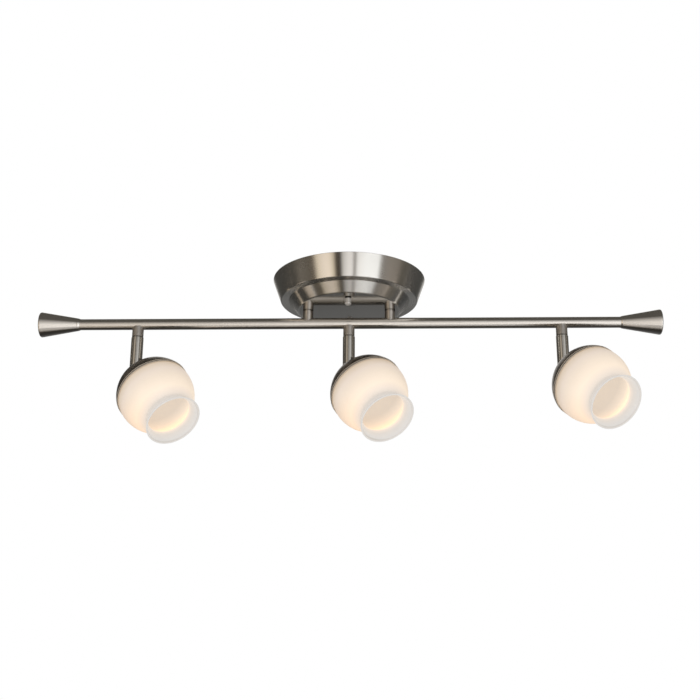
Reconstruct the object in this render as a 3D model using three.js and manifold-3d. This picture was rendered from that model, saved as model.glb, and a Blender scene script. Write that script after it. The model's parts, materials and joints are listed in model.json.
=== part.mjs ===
// Ceiling light: a round bar under a stepped canopy carries three glass heads that swivel and tilt.
// Millimetres, +Z up. The ceiling is the plane z = 0 and the bar runs along X.

import * as THREE from 'three';
import { mergeVertices } from 'three/addons/utils/BufferGeometryUtils.js';
import Module from 'manifold-3d';

const wasm = await Module();
wasm.setup();

// ---- driving dimensions ----

const overallLength = 711;
const gap = 0.3; // between neighbouring pieces
const deg = Math.PI / 180;
const facets = { canopy: 36, large: 20, medium: 16, small: 12 }; // sides of a round piece

const canopy = {
  rimRadius: 87.4, shoulderRadius: 78.4, stepRadius: 69.3, discRadius: 58.5,
  shoulderZ: -25.6, discZ: -36.8, wall: 1.2, edgeRadius: 1.4,
};
const crossbar = { length: 108, width: 22, thickness: 2.5, slotY: 33, slotLength: 12, slotWidth: 4.6 };
const groundScrew = { x: 6.5, y: 4, holeRadius: 1.9, shankRadius: 1.6, headRadius: 3.6, headHeight: 2.1 };
const stud = { radius: 2, y: 43, bottomZ: -41.6, nutAcrossFlats: 7, nutHeight: 2.8 };
const capNut = {
  flangeRadius: 3.8, flangeHeight: 0.7, barrelRadius: 3.5, headRadius: 4.1, headHeight: 2.7,
  height: 8.4, boreDepth: 5.4,
};
const post = {
  x: 47, radius: 6, nippleRadius: 4.6, wireBore: 3.4, nippleTopZ: -27, nutAcrossFlats: 14, nutHeight: 4,
};
const bar = { radius: 6.35, wall: 1, z: -51.6 };
const endCap = {
  length: 43, smallRadius: 6.95, bigRadius: 14.5, rimRadius: 2.4, spigot: 12, chamfer: 0.6, dome: 1,
};
const wire = { radius: 1, spacing: 3.4, aboveBarCentre: 2.2 };
const connector = {
  x: -36, y: 16, z: -17.5, mouthRadius: 4.6, endRadius: 3.2, length: 12, boreRadius: 1.9, boreDepth: 6,
};

const head = {
  spacing: 242, pivotZ: -101.9,
  collarRadius: 6.45, collarTopZ: -55, collarBottomZ: -67.3,
  nippleRadius: 4, nippleBore: 2.4, nippleTopZ: -55.2, flangeRadius: 4.9, flangeThickness: 2,
  washerRadius: 6.3, washerThickness: 0.6,
  stemRadius: 6.95, stemTopZ: -68.2, stemBottomZ: -105.4, slotTopZ: -94.4, slotWidth: 4.6,
  pocketTopZ: -71.2, pocketBottomZ: -88, wirePassage: 1.8,
};
const knuckle = {
  tongueThickness: 3.8, tongueRadius: 5.4, seatRadius: 8, seatThickness: 2.4, stubRadius: 4, stubEnd: 21.6,
};
const tiltScrew = { radius: 1.5, headRadius: 2.4, headFrom: 5.3, headHeight: 1.9, length: 13.6 };
const shade = {
  centre: 58.7, // from the tilt axis to the middle of the globe
  radius: 42, wall: 2, backHole: 12,
  neckAngle: 40 * deg, lipRadius: 31.2, lipReach: 45.5, lipWall: 1.6,
};
const cup = { radius: 43.6, wall: 1, rimBack: 10, ringWidth: 2.6, seatGap: 0.5 };
const lampHolder = { radius: 9, back: 17.2, front: 31.6 };
const bulb = { baseRadius: 5, radius: 6.5, back: 32, front: 65 };

// Aim of each head at rest: turn about the stem from +X, tilt up from straight down.
const heads = [
  { name: 'left', x: -head.spacing, turn: -40 * deg, tilt: 42.5 * deg },
  { name: 'middle', x: 0, turn: -52 * deg, tilt: 42 * deg },
  { name: 'right', x: head.spacing, turn: -59 * deg, tilt: 51.5 * deg },
];

// ---- materials ----

const finish = (color, roughness, metalness) =>
  new THREE.MeshStandardMaterial({ color, roughness, metalness });
const brushedNickel = finish(0xb5ab9d, 0.35, 1);
const darkNickel = finish(0x4b443d, 0.3, 1);
const zincSteel = finish(0xa9adb0, 0.45, 1);
const blackNylon = finish(0x1d1c1b, 0.6, 0);
const ceramic = finish(0xeeeae0, 0.5, 0);
const bulbGlass = finish(0xfff2d6, 0.2, 0);
const opalGlass = finish(0xf7e8d5, 0.3, 0);
const blackWire = finish(0x242424, 0.55, 0);
const whiteWire = finish(0xe6e4df, 0.55, 0);
const orangePlastic = finish(0xd9772b, 0.5, 0);
const greenScrew = finish(0x3f7d46, 0.45, 0.6);

// ---- geometry helpers ----

const p = (r, z) => new THREE.Vector2(r, z);

// Profile points (radius, z) run up the outside and come back down the inside.
function lathe(points, segments) {
  const geometry = new THREE.LatheGeometry(points, segments);
  geometry.rotateX(Math.PI / 2);
  return geometry;
}

// Cutting tools run this far past the faces they open.
const past = 2;

function tube(outer, inner, bottom, top, segments) {
  return lathe([p(inner, bottom), p(outer, bottom), p(outer, top), p(inner, top), p(inner, bottom)], segments);
}

function rod(radius, bottom, top, segments) {
  return lathe([p(0, bottom), p(radius, bottom), p(radius, top), p(0, top)], segments);
}

// A rounded corner between two straight stretches, as a few points of an arc-like curve.
function rounded(before, corner, after, reach, steps = 3) {
  const start = corner.clone().add(before.clone().sub(corner).setLength(reach));
  const end = corner.clone().add(after.clone().sub(corner).setLength(reach));
  return new THREE.QuadraticBezierCurve(start, corner, end).getPoints(steps);
}

// Points on a circle about (0, centreZ) between two angles measured from straight down.
function arc(radius, centreZ, from, to, steps) {
  const points = [];
  for (let i = 0; i <= steps; i += 1) {
    const angle = from + ((to - from) * i) / steps;
    points.push(p(radius * Math.sin(angle), centreZ - radius * Math.cos(angle)));
  }
  return points;
}

function toSolid(geometry) {
  const bare = geometry.clone();
  bare.deleteAttribute('normal');
  bare.deleteAttribute('uv');
  const merged = mergeVertices(bare, 1e-4);
  return new wasm.Manifold(new wasm.Mesh({
    numProp: 3,
    vertProperties: new Float32Array(merged.attributes.position.array),
    triVerts: new Uint32Array(merged.index.array),
  }));
}

function toGeometry(solid) {
  const mesh = solid.getMesh();
  const geometry = new THREE.BufferGeometry();
  geometry.setAttribute('position', new THREE.BufferAttribute(mesh.vertProperties, 3));
  geometry.setIndex(new THREE.BufferAttribute(mesh.triVerts, 1));
  return geometry;
}

function cut(geometry, tools) {
  const solid = tools.reduce((body, tool) => body.subtract(toSolid(tool)), toSolid(geometry));
  return toGeometry(solid);
}

function join(geometries) {
  const solids = geometries.map(toSolid);
  return toGeometry(solids.reduce((body, next) => body.add(next)));
}

const moved = (geometry, x, y, z) => geometry.translate(x, y, z);
const alongX = (geometry) => geometry.rotateY(Math.PI / 2);
const alongY = (geometry) => geometry.rotateX(-Math.PI / 2);

function part(name, geometry, material) {
  const mesh = new THREE.Mesh(geometry, material);
  mesh.name = name;
  return mesh;
}

function hexNut(acrossFlats, bore, bottom, top) {
  const blank = rod(acrossFlats / Math.sqrt(3), bottom, top, 6);
  return cut(blank, [rod(bore, bottom - past, top + past, facets.small)]);
}

// ---- canopy and ceiling fixings ----

function canopyShell() {
  const { rimRadius, shoulderRadius, stepRadius, discRadius, shoulderZ, discZ, wall, edgeRadius } = canopy;
  const rim = p(rimRadius, 0);
  const shoulder = p(shoulderRadius, shoulderZ);
  const step = p(stepRadius, shoulderZ);
  const foot = p(discRadius, discZ);
  const axis = p(0, discZ);
  const inward = (point) => p(point.x - wall, point.y);
  const profile = [
    axis,
    ...rounded(axis, foot, step, edgeRadius),
    step,
    ...rounded(step, shoulder, rim, edgeRadius),
    rim,
    inward(rim),
    p(shoulderRadius - wall, shoulderZ + wall),
    p(stepRadius - wall * 0.4, shoulderZ + wall),
    p(discRadius - wall * 0.4, discZ + wall),
    p(0, discZ + wall),
  ];
  const below = discZ - past;
  const above = discZ + wall + past;
  const holes = [];
  for (const side of [-1, 1]) {
    holes.push(moved(rod(stud.radius + gap, below, above, facets.small), 0, side * stud.y, 0));
    holes.push(moved(rod(post.nippleRadius + gap, below, above, facets.medium), side * post.x, 0, 0));
  }
  return cut(lathe(profile, facets.canopy), holes);
}

function crossbarPlate() {
  const { length, width, thickness, slotY, slotLength, slotWidth } = crossbar;
  const outline = new THREE.Shape();
  const halfWidth = width / 2;
  const straight = length / 2 - halfWidth;
  outline.absarc(0, straight, halfWidth, 0, Math.PI);
  outline.absarc(0, -straight, halfWidth, Math.PI, 2 * Math.PI);
  for (const side of [-1, 1]) {
    const slot = new THREE.Path();
    const slotEnd = (slotLength - slotWidth) / 2;
    slot.absarc(0, side * slotY + slotEnd, slotWidth / 2, 0, Math.PI);
    slot.absarc(0, side * slotY - slotEnd, slotWidth / 2, Math.PI, 2 * Math.PI);
    outline.holes.push(slot);
    const studHole = new THREE.Path();
    studHole.absarc(0, side * stud.y, stud.radius + gap, 0, 2 * Math.PI);
    outline.holes.push(studHole);
  }
  const groundHole = new THREE.Path();
  groundHole.absarc(groundScrew.x, groundScrew.y, groundScrew.holeRadius, 0, 2 * Math.PI);
  outline.holes.push(groundHole);
  const extrusion = { depth: thickness, bevelEnabled: false, curveSegments: 5 };
  return moved(new THREE.ExtrudeGeometry(outline, extrusion), 0, 0, -thickness);
}

function ballCapNut() {
  const { flangeRadius, flangeHeight, barrelRadius, headRadius, headHeight, height, boreDepth } = capNut;
  const bottom = -height;
  const bore = stud.radius + gap;
  return lathe([
    p(0, bottom),
    p(headRadius * 0.55, bottom + headHeight * 0.13),
    p(headRadius * 0.9, bottom + headHeight * 0.4),
    p(headRadius, bottom + headHeight * 0.75),
    p(barrelRadius, bottom + headHeight),
    p(barrelRadius, -flangeHeight - 0.2),
    p(flangeRadius, -flangeHeight),
    p(flangeRadius, 0),
    p(bore, 0),
    p(bore, -boreDepth),
    p(0, -boreDepth),
  ], facets.small);
}

// The underside of its head's seat is z = 0, and its tip ends just short of the ceiling.
function groundScrewBody() {
  const { shankRadius, headRadius, headHeight } = groundScrew;
  return lathe([
    p(0, -headHeight), p(headRadius * 0.7, -headHeight), p(headRadius, -headHeight * 0.5), p(headRadius, 0),
    p(shankRadius, 0), p(shankRadius, crossbar.thickness), p(0, crossbar.thickness),
  ], facets.small);
}

function addCeilingFixings(group) {
  group.add(part('canopy', canopyShell(), brushedNickel));
  group.add(part('mounting_crossbar', crossbarPlate(), zincSteel));
  const underPlate = -crossbar.thickness - gap;
  for (const [i, side] of [-1, 1].entries()) {
    const number = i + 1;
    const y = side * stud.y;
    const rodOfStud = rod(stud.radius, stud.bottomZ, -gap, facets.small);
    group.add(part(`mounting_stud_${number}`, moved(rodOfStud, 0, y, 0), zincSteel));
    const lock = hexNut(stud.nutAcrossFlats, stud.radius + gap, underPlate - stud.nutHeight, underPlate);
    group.add(part(`stud_lock_nut_${number}`, moved(lock, 0, y, 0), zincSteel));
    group.add(part(`cap_nut_${number}`, moved(ballCapNut(), 0, y, canopy.discZ - gap), brushedNickel));
  }
  const screw = moved(groundScrewBody(), groundScrew.x, groundScrew.y, underPlate);
  group.add(part('ground_screw', screw, greenScrew));
}

// ---- posts, bar and end caps ----

// A tube on the Z axis whose end at the bar is cut to the bar's round.
function copedSleeve(outer, inner, bottom, top) {
  const reach = outer + past;
  const roundOfBar = alongX(rod(bar.radius + gap, -reach, reach, facets.large)).translate(0, 0, bar.z);
  return cut(tube(outer, inner, bottom, top, facets.medium), [roundOfBar]);
}

function addPosts(group) {
  const nutBottom = canopy.discZ + canopy.wall + gap;
  for (const [i, side] of [-1, 1].entries()) {
    const number = i + 1;
    const x = side * post.x;
    const nippleBottom = bar.z + bar.radius + gap;
    const nipple = tube(post.nippleRadius, post.wireBore, nippleBottom, post.nippleTopZ, facets.small);
    const sleeve = copedSleeve(post.radius, post.nippleRadius + gap, bar.z, canopy.discZ - gap);
    group.add(part(`post_${number}`, moved(sleeve, x, 0, 0), brushedNickel));
    group.add(part(`post_nipple_${number}`, moved(nipple, x, 0, 0), zincSteel));
    const nut = hexNut(post.nutAcrossFlats, post.nippleRadius + gap, nutBottom, nutBottom + post.nutHeight);
    group.add(part(`post_lock_nut_${number}`, moved(nut, x, 0, 0), zincSteel));
  }
}

function barTube() {
  const reach = overallLength / 2 - endCap.length - gap;
  const outline = alongX(tube(bar.radius, bar.radius - bar.wall, -reach, reach, facets.large));
  const through = bar.radius + past;
  const wireHole = (x) => moved(rod(post.wireBore, 0, through, facets.small), x, 0, 0);
  const holes = [wireHole(-post.x), wireHole(post.x)];
  for (const { x } of heads) {
    holes.push(moved(rod(head.nippleRadius + gap, -through, 0, facets.small), x, 0, 0));
  }
  return moved(cut(outline, holes), 0, 0, bar.z);
}

function endCapBody() {
  const { length, smallRadius, bigRadius, rimRadius, spigot, chamfer, dome } = endCap;
  const bore = bar.radius - bar.wall - gap;
  const small = p(smallRadius, 0);
  const corner = p(bigRadius + 0.35, length - dome);
  const face = p(0, length);
  return lathe([
    p(0, -spigot), p(bore - chamfer, -spigot), p(bore, -spigot + chamfer), p(bore, 0),
    small,
    ...rounded(small, corner, face, rimRadius, 3),
    p(bigRadius * 0.5, length - dome * 0.25),
    face,
  ], facets.large);
}

function addBar(group) {
  group.add(part('bar_tube', barTube(), brushedNickel));
  const start = overallLength / 2 - endCap.length;
  const right = moved(alongX(endCapBody()), start, 0, bar.z);
  const left = moved(alongX(endCapBody()).rotateZ(Math.PI), -start, 0, bar.z);
  group.add(part('end_cap_left', left, brushedNickel));
  group.add(part('end_cap_right', right, brushedNickel));
}

// ---- wiring inside the canopy and the bar ----

function wireAlong(points) {
  const path = new THREE.CatmullRomCurve3(points.map(([x, y, z]) => new THREE.Vector3(x, y, z)));
  const section = new THREE.Shape();
  section.absarc(0, 0, wire.radius, 0, 2 * Math.PI);
  return new THREE.ExtrudeGeometry(section, { steps: 12, curveSegments: 3, extrudePath: path });
}

// A cone with a blind bore for the twisted wire ends, its mouth at x = 0.
function connectorBody() {
  const { mouthRadius, endRadius, length, boreRadius, boreDepth } = connector;
  const profile = [
    p(0, boreDepth), p(boreRadius, boreDepth), p(boreRadius, 0), p(mouthRadius, 0),
    p(endRadius, length - 1), p(endRadius - 0.6, length), p(0, length),
  ];
  return alongX(lathe(profile, facets.small));
}

function addWiring(group) {
  const conductors = [
    { name: 'line', side: -1, material: blackWire },
    { name: 'neutral', side: 1, material: whiteWire },
  ];
  const { x, z } = connector;
  for (const { name, side, material } of conductors) {
    const wireY = (side * wire.spacing) / 2;
    const endY = side * connector.y;
    const feed = wireAlong([
      [-post.x, wireY, bar.z + bar.radius], [-post.x, wireY, -34], [-post.x + 0.4, wireY, -25],
      [-post.x + 4, wireY + endY * 0.25, z - 1.5], [x - 2, endY * 0.75, z], [x + 2, endY, z],
    ]);
    group.add(part(`feed_wire_${name}`, feed, material));
    group.add(part(`wire_connector_${name}`, moved(connectorBody(), x + 2.4, endY, z), orangePlastic));
    const run = alongX(rod(wire.radius, -head.spacing, head.spacing, 8));
    group.add(part(`bar_wire_${name}`, moved(run, 0, wireY, bar.z + wire.aboveBarCentre), material));
  }
}

// ---- heads ----

function swivelNipple() {
  const { nippleRadius, nippleBore, nippleTopZ, flangeRadius, flangeThickness, pocketTopZ } = head;
  const flangeTop = pocketTopZ - gap;
  return lathe([
    p(nippleBore, flangeTop - flangeThickness), p(flangeRadius, flangeTop - flangeThickness),
    p(flangeRadius, flangeTop), p(nippleRadius, flangeTop), p(nippleRadius, nippleTopZ),
    p(nippleBore, nippleTopZ), p(nippleBore, flangeTop - flangeThickness),
  ], facets.small);
}

// The stem turns on the nipple: the nipple's flange sits in its pocket and the knuckle in its slot.
function stemBody() {
  const {
    stemRadius, stemTopZ, stemBottomZ, slotTopZ, slotWidth, nippleRadius, flangeRadius,
    pocketTopZ, pocketBottomZ, wirePassage, pivotZ,
  } = head;
  const hole = nippleRadius + gap;
  const pocket = flangeRadius + gap + 0.1;
  const bottomCorner = p(stemRadius, stemBottomZ);
  const outside = lathe([
    p(wirePassage, stemBottomZ),
    ...rounded(p(0, stemBottomZ), bottomCorner, p(stemRadius, 0), 1.8),
    p(stemRadius, stemTopZ - 0.5), p(stemRadius - 0.5, stemTopZ),
    p(hole, stemTopZ), p(hole, pocketTopZ), p(pocket, pocketTopZ), p(pocket, pocketBottomZ),
    p(wirePassage, pocketBottomZ - 2), p(wirePassage, stemBottomZ),
  ], facets.medium);
  const wide = stemRadius + past;
  const slotHeight = slotTopZ - stemBottomZ + past;
  const slot = new THREE.BoxGeometry(2 * wide, slotWidth, slotHeight);
  slot.translate(0, 0, slotTopZ - slotHeight / 2);
  const screwHole = alongY(rod(tiltScrew.radius + gap, -wide, wide, facets.small)).translate(0, 0, pivotZ);
  const headSeat = tiltScrew.headFrom - gap;
  const headHole = alongY(rod(tiltScrew.headRadius + gap, headSeat, wide, facets.small));
  headHole.translate(0, 0, pivotZ);
  return moved(cut(outside, [slot, screwHole, headHole]), 0, 0, -pivotZ);
}

// Everything below hangs from the tilt axis: z = 0 is the axis and -Z is the way the head points.

function knuckleBody() {
  const { tongueThickness, tongueRadius, seatRadius, seatThickness, stubRadius, stubEnd } = knuckle;
  const seat = shade.centre - cup.radius - cup.seatGap;
  const outline = new THREE.Shape();
  outline.absarc(0, 0, tongueRadius, 0, Math.PI);
  outline.lineTo(-tongueRadius, -seat + 1);
  outline.lineTo(tongueRadius, -seat + 1);
  const extrusion = { depth: tongueThickness, bevelEnabled: false, curveSegments: 8 };
  const tongue = new THREE.ExtrudeGeometry(outline, extrusion);
  tongue.translate(0, 0, -tongueThickness / 2).rotateX(Math.PI / 2);
  const base = lathe([
    p(0, -stubEnd), p(stubRadius, -stubEnd), p(stubRadius, -seat), p(seatRadius, -seat),
    p(seatRadius, -seat + seatThickness * 0.7), p(seatRadius * 0.87, -seat + seatThickness),
    p(0, -seat + seatThickness),
  ], facets.medium);
  const screwHole = alongY(rod(tiltScrew.radius + gap, -tongueRadius, tongueRadius, facets.small));
  return cut(join([tongue, base]), [screwHole]);
}

function tiltScrewBody() {
  const { radius, headRadius, headFrom, headHeight, length } = tiltScrew;
  const end = headFrom + headHeight;
  return alongY(lathe([
    p(0, end - length), p(radius, end - length), p(radius, headFrom), p(headRadius, headFrom),
    p(headRadius, end - 0.4), p(headRadius * 0.75, end), p(0, end),
  ], facets.small));
}

function backCupBody() {
  const { radius, wall, rimBack } = cup;
  const centreZ = -shade.centre;
  const hole = knuckle.stubRadius + gap;
  const inner = radius - wall;
  const rimAngle = Math.PI - Math.acos(rimBack / radius);
  const innerRimAngle = Math.PI - Math.acos(rimBack / inner);
  return lathe([
    ...arc(radius, centreZ, rimAngle, Math.PI - Math.asin(hole / radius), 5),
    ...arc(inner, centreZ, Math.PI - Math.asin(hole / inner), innerRimAngle, 5),
    p(radius * Math.sin(rimAngle), centreZ + rimBack),
  ], facets.large);
}

function shadeRingBody() {
  const { radius, rimBack, ringWidth } = cup;
  const back = rimBack - gap;
  const front = back - ringWidth;
  const centreZ = -shade.centre;
  const atBack = Math.sqrt(radius * radius - back * back) - gap;
  const atFront = Math.sqrt(radius * radius - front * front) - gap;
  const bore = Math.sqrt(shade.radius * shade.radius - front * front) + gap;
  return lathe([
    p(bore, centreZ + front), p(atFront, centreZ + front), p(atBack, centreZ + back),
    p(bore, centreZ + back), p(bore, centreZ + front),
  ], facets.large);
}

function lampHolderBody() {
  const { radius, back, front } = lampHolder;
  const socket = knuckle.stubRadius + gap;
  const socketEnd = knuckle.stubEnd + gap;
  return lathe([
    p(0, -front), p(radius - 1, -front), p(radius, -front + 1), p(radius, -back - 1), p(radius - 1, -back),
    p(socket, -back), p(socket, -socketEnd), p(0, -socketEnd),
  ], facets.small);
}

function bulbBody() {
  const { baseRadius, radius, back, front } = bulb;
  return lathe([
    p(0, -front), p(radius * 0.5, -front + 0.6), p(radius * 0.87, -front + 2.6), p(radius, -front + 5),
    p(radius, -back - 11), p(baseRadius, -back - 8), p(baseRadius, -back), p(0, -back),
  ], facets.small);
}

function glassShadeBody() {
  const { centre, radius, wall, backHole, neckAngle, lipRadius, lipReach, lipWall } = shade;
  const inner = radius - wall;
  const lip = p(lipRadius, -centre - lipReach);
  const flare = (sphere, angle, inset) => {
    const start = p(sphere * Math.sin(angle), -centre - sphere * Math.cos(angle));
    const intoNeck = start.clone().add(p(-3 * Math.cos(angle), -3 * Math.sin(angle)));
    const end = p(lip.x - inset, lip.y);
    const outOfNeck = end.clone().add(p(-3.3, 5));
    return new THREE.CubicBezierCurve(start, intoNeck, outOfNeck, end).getPoints(4);
  };
  const innerAngle = neckAngle - 0.03;
  return lathe([
    ...flare(radius, neckAngle, 0).reverse(),
    ...arc(radius, -centre, neckAngle, Math.PI - Math.asin(backHole / radius), 7).slice(1),
    ...arc(inner, -centre, Math.PI - Math.asin(backHole / inner), innerAngle, 7),
    ...flare(inner, innerAngle, lipWall).slice(1),
    p(lip.x - lipWall / 2, lip.y - 0.5),
    lip,
  ], facets.large);
}

function addHead(group, { name, x, turn, tilt }) {
  const collar = copedSleeve(head.collarRadius, head.nippleRadius + gap, head.collarBottomZ, head.collarTopZ);
  group.add(part(`collar_${name}`, moved(collar, x, 0, 0), brushedNickel));
  group.add(part(`swivel_nipple_${name}`, moved(swivelNipple(), x, 0, 0), zincSteel));

  const swivel = new THREE.Group();
  swivel.position.set(x, 0, head.pivotZ);
  swivel.rotation.z = turn;
  const washerTop = head.collarBottomZ - head.pivotZ - gap / 2;
  const washerHole = head.nippleRadius + gap;
  const washer = tube(head.washerRadius, washerHole, washerTop - head.washerThickness, washerTop, facets.small);
  swivel.add(part(`swivel_washer_${name}`, washer, blackNylon));
  swivel.add(part(`stem_${name}`, stemBody(), brushedNickel));
  swivel.add(part(`tilt_screw_${name}`, tiltScrewBody(), zincSteel));

  const aim = new THREE.Group();
  aim.rotation.y = -tilt;
  aim.add(part(`knuckle_${name}`, knuckleBody(), brushedNickel));
  aim.add(part(`back_cup_${name}`, backCupBody(), darkNickel));
  aim.add(part(`shade_ring_${name}`, shadeRingBody(), brushedNickel));
  aim.add(part(`lamp_holder_${name}`, lampHolderBody(), ceramic));
  aim.add(part(`bulb_${name}`, bulbBody(), bulbGlass));
  aim.add(part(`glass_shade_${name}`, glassShadeBody(), opalGlass));
  swivel.add(aim);
  group.add(swivel);
}

// ---- the whole light ----

const light = new THREE.Group();
addCeilingFixings(light);
addPosts(light);
addBar(light);
addWiring(light);
for (const one of heads) {
  addHead(light, one);
}

export default light;
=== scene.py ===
import json
import math
import bpy
import bmesh
from mathutils import Matrix, Vector


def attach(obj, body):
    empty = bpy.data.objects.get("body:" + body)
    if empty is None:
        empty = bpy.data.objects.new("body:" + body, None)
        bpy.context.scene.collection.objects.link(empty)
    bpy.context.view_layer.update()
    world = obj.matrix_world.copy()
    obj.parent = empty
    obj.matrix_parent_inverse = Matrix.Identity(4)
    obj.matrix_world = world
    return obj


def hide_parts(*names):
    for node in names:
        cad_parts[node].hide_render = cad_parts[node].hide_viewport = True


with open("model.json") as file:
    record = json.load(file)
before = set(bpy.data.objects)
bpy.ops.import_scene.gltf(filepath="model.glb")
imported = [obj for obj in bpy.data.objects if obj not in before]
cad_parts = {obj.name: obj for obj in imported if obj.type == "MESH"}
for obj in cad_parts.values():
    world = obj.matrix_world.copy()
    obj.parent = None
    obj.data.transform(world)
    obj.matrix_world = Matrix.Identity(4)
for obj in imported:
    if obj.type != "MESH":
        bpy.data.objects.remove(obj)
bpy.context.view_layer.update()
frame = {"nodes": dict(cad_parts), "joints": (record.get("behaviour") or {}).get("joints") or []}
scene = bpy.context.scene
scene.view_settings.view_transform = "Standard"
mm = 0.001

# ---- camera ----

cameraSetup = {
    "position": (0.034623, -1.289617, -0.524397),
    "yaw": 1.479, "pitch": 18.862, "roll": 0.244,  # degrees
    "lens": 61.714, "sensor": 36.0,
}


def makeCamera(setup):
    yaw, pitch, roll = (math.radians(setup[key]) for key in ("yaw", "pitch", "roll"))
    forward = Vector((-math.sin(yaw) * math.cos(pitch), math.cos(yaw) * math.cos(pitch), math.sin(pitch)))
    right = Vector((math.cos(yaw), math.sin(yaw), 0))
    up = right.cross(forward)
    tiltedRight = right * math.cos(roll) + up * math.sin(roll)
    tiltedUp = up * math.cos(roll) - right * math.sin(roll)
    data = bpy.data.cameras.new("camera")
    data.lens = setup["lens"]
    data.sensor_width = setup["sensor"]
    camera = bpy.data.objects.new("camera", data)
    camera.matrix_world = Matrix.Translation(setup["position"]) @ Matrix(
        (tiltedRight, tiltedUp, -forward)).transposed().to_4x4()
    scene.collection.objects.link(camera)
    scene.camera = camera


makeCamera(cameraSetup)
print("camera ready")

# ---- node helpers ----


def addNode(tree, kind, inputs=None, **settings):
    node = tree.nodes.new(kind)
    for key, value in settings.items():
        setattr(node, key, value)
    for key, value in (inputs or {}).items():
        if isinstance(value, bpy.types.NodeSocket):
            tree.links.new(value, node.inputs[key])
        else:
            node.inputs[key].default_value = value
    return node


def addMath(tree, operation, first, second=None, third=None):
    node = tree.nodes.new("ShaderNodeMath")
    node.operation = operation
    for index, value in enumerate((first, second, third)):
        if isinstance(value, bpy.types.NodeSocket):
            tree.links.new(value, node.inputs[index])
        elif value is not None:
            node.inputs[index].default_value = value
    return node.outputs[0]


def addRamp(tree, factor, stops, interpolation="LINEAR"):
    node = tree.nodes.new("ShaderNodeValToRGB")
    tree.links.new(factor, node.inputs[0])
    ramp = node.color_ramp
    ramp.interpolation = interpolation
    while len(ramp.elements) < len(stops):
        ramp.elements.new(0.5)
    for element, (position, color) in zip(ramp.elements, stops):
        element.position = position
        element.color = (*color, 1)
    return node.outputs[0]


def mixColors(tree, factor, first, second, blend="MIX"):
    node = tree.nodes.new("ShaderNodeMix")
    node.data_type = "RGBA"
    node.blend_type = blend
    for socket, value in ((node.inputs[0], factor), (node.inputs[6], first), (node.inputs[7], second)):
        if isinstance(value, bpy.types.NodeSocket):
            tree.links.new(value, socket)
        else:
            socket.default_value = value if isinstance(value, (int, float)) else (*value, 1)
    return node.outputs[2]


# ---- studio: soft panels of light as bands of the sky, and a pale floor ----

studio = {
    # heading from straight in front (-Y), positive towards +X, in degrees, and the band's colour
    "bands": [
        (-180, (0.27, 0.27, 0.27)), (-165, (0.19, 0.19, 0.19)), (-140, (0.052, 0.052, 0.050)),
        (-99, (0.058, 0.053, 0.048)), (-91, (0.10, 0.09, 0.075)), (-76, (0.17, 0.15, 0.125)),
        (-61, (0.17, 0.145, 0.115)), (-53, (0.15, 0.12, 0.09)), (-47, (1.15, 1.00, 0.79)),
        (-38, (1.34, 1.17, 1.00)), (-28, (1.34, 1.17, 0.99)), (-22, (1.00, 0.86, 0.67)),
        (-18, (0.06, 0.045, 0.03)), (-11, (0.05, 0.035, 0.025)), (-8, (0.88, 0.85, 0.81)),
        (0, (1.25, 1.21, 1.19)), (6, (1.30, 1.26, 1.25)), (8.5, (0.40, 0.38, 0.36)), (11, (0.40, 0.38, 0.36)),
        (13, (1.40, 1.38, 1.37)), (27, (1.62, 1.64, 1.66)), (46, (1.62, 1.64, 1.66)), (50, (0.36, 0.34, 0.32)),
        (66, (0.38, 0.34, 0.30)), (84, (0.26, 0.23, 0.20)), (91, (0.16, 0.145, 0.12)), (104, (0.11, 0.105, 0.10)),
        (140, (0.062, 0.064, 0.065)), (165, (0.19, 0.19, 0.19)), (180, (0.27, 0.27, 0.27)),
    ],
    "spread": ((-0.87, 0.69), (-0.22, 1.0)),  # sine of the height, and how far apart the bands stand there
    "risingDim": (-0.30, 0.60),  # sine of the height where the bands fade out above
    # sine of the height and the share of light left there, towards the floor
    "fallingDim": [(-1.0, 0.20), (-0.985, 0.20), (-0.955, 0.30), (-0.925, 0.62), (-0.87, 0.42), (-0.82, 0.45),
                   (-0.75, 0.95), (-0.70, 1.0)],
    "ceilingColor": (0.085, 0.080, 0.070),
    "backPanel": {"heading": (2.70, 2.80), "height": (0.14, 0.24), "top": (0.62, 0.72), "color": (0.85, 0.83, 0.80)},
    "softLight": (0.86, 0.85, 0.84),  # what matt surfaces get from all round
    "floorLevel": -1.9, "floorSize": 60.0, "floorGlow": 0.22,
}


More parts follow.
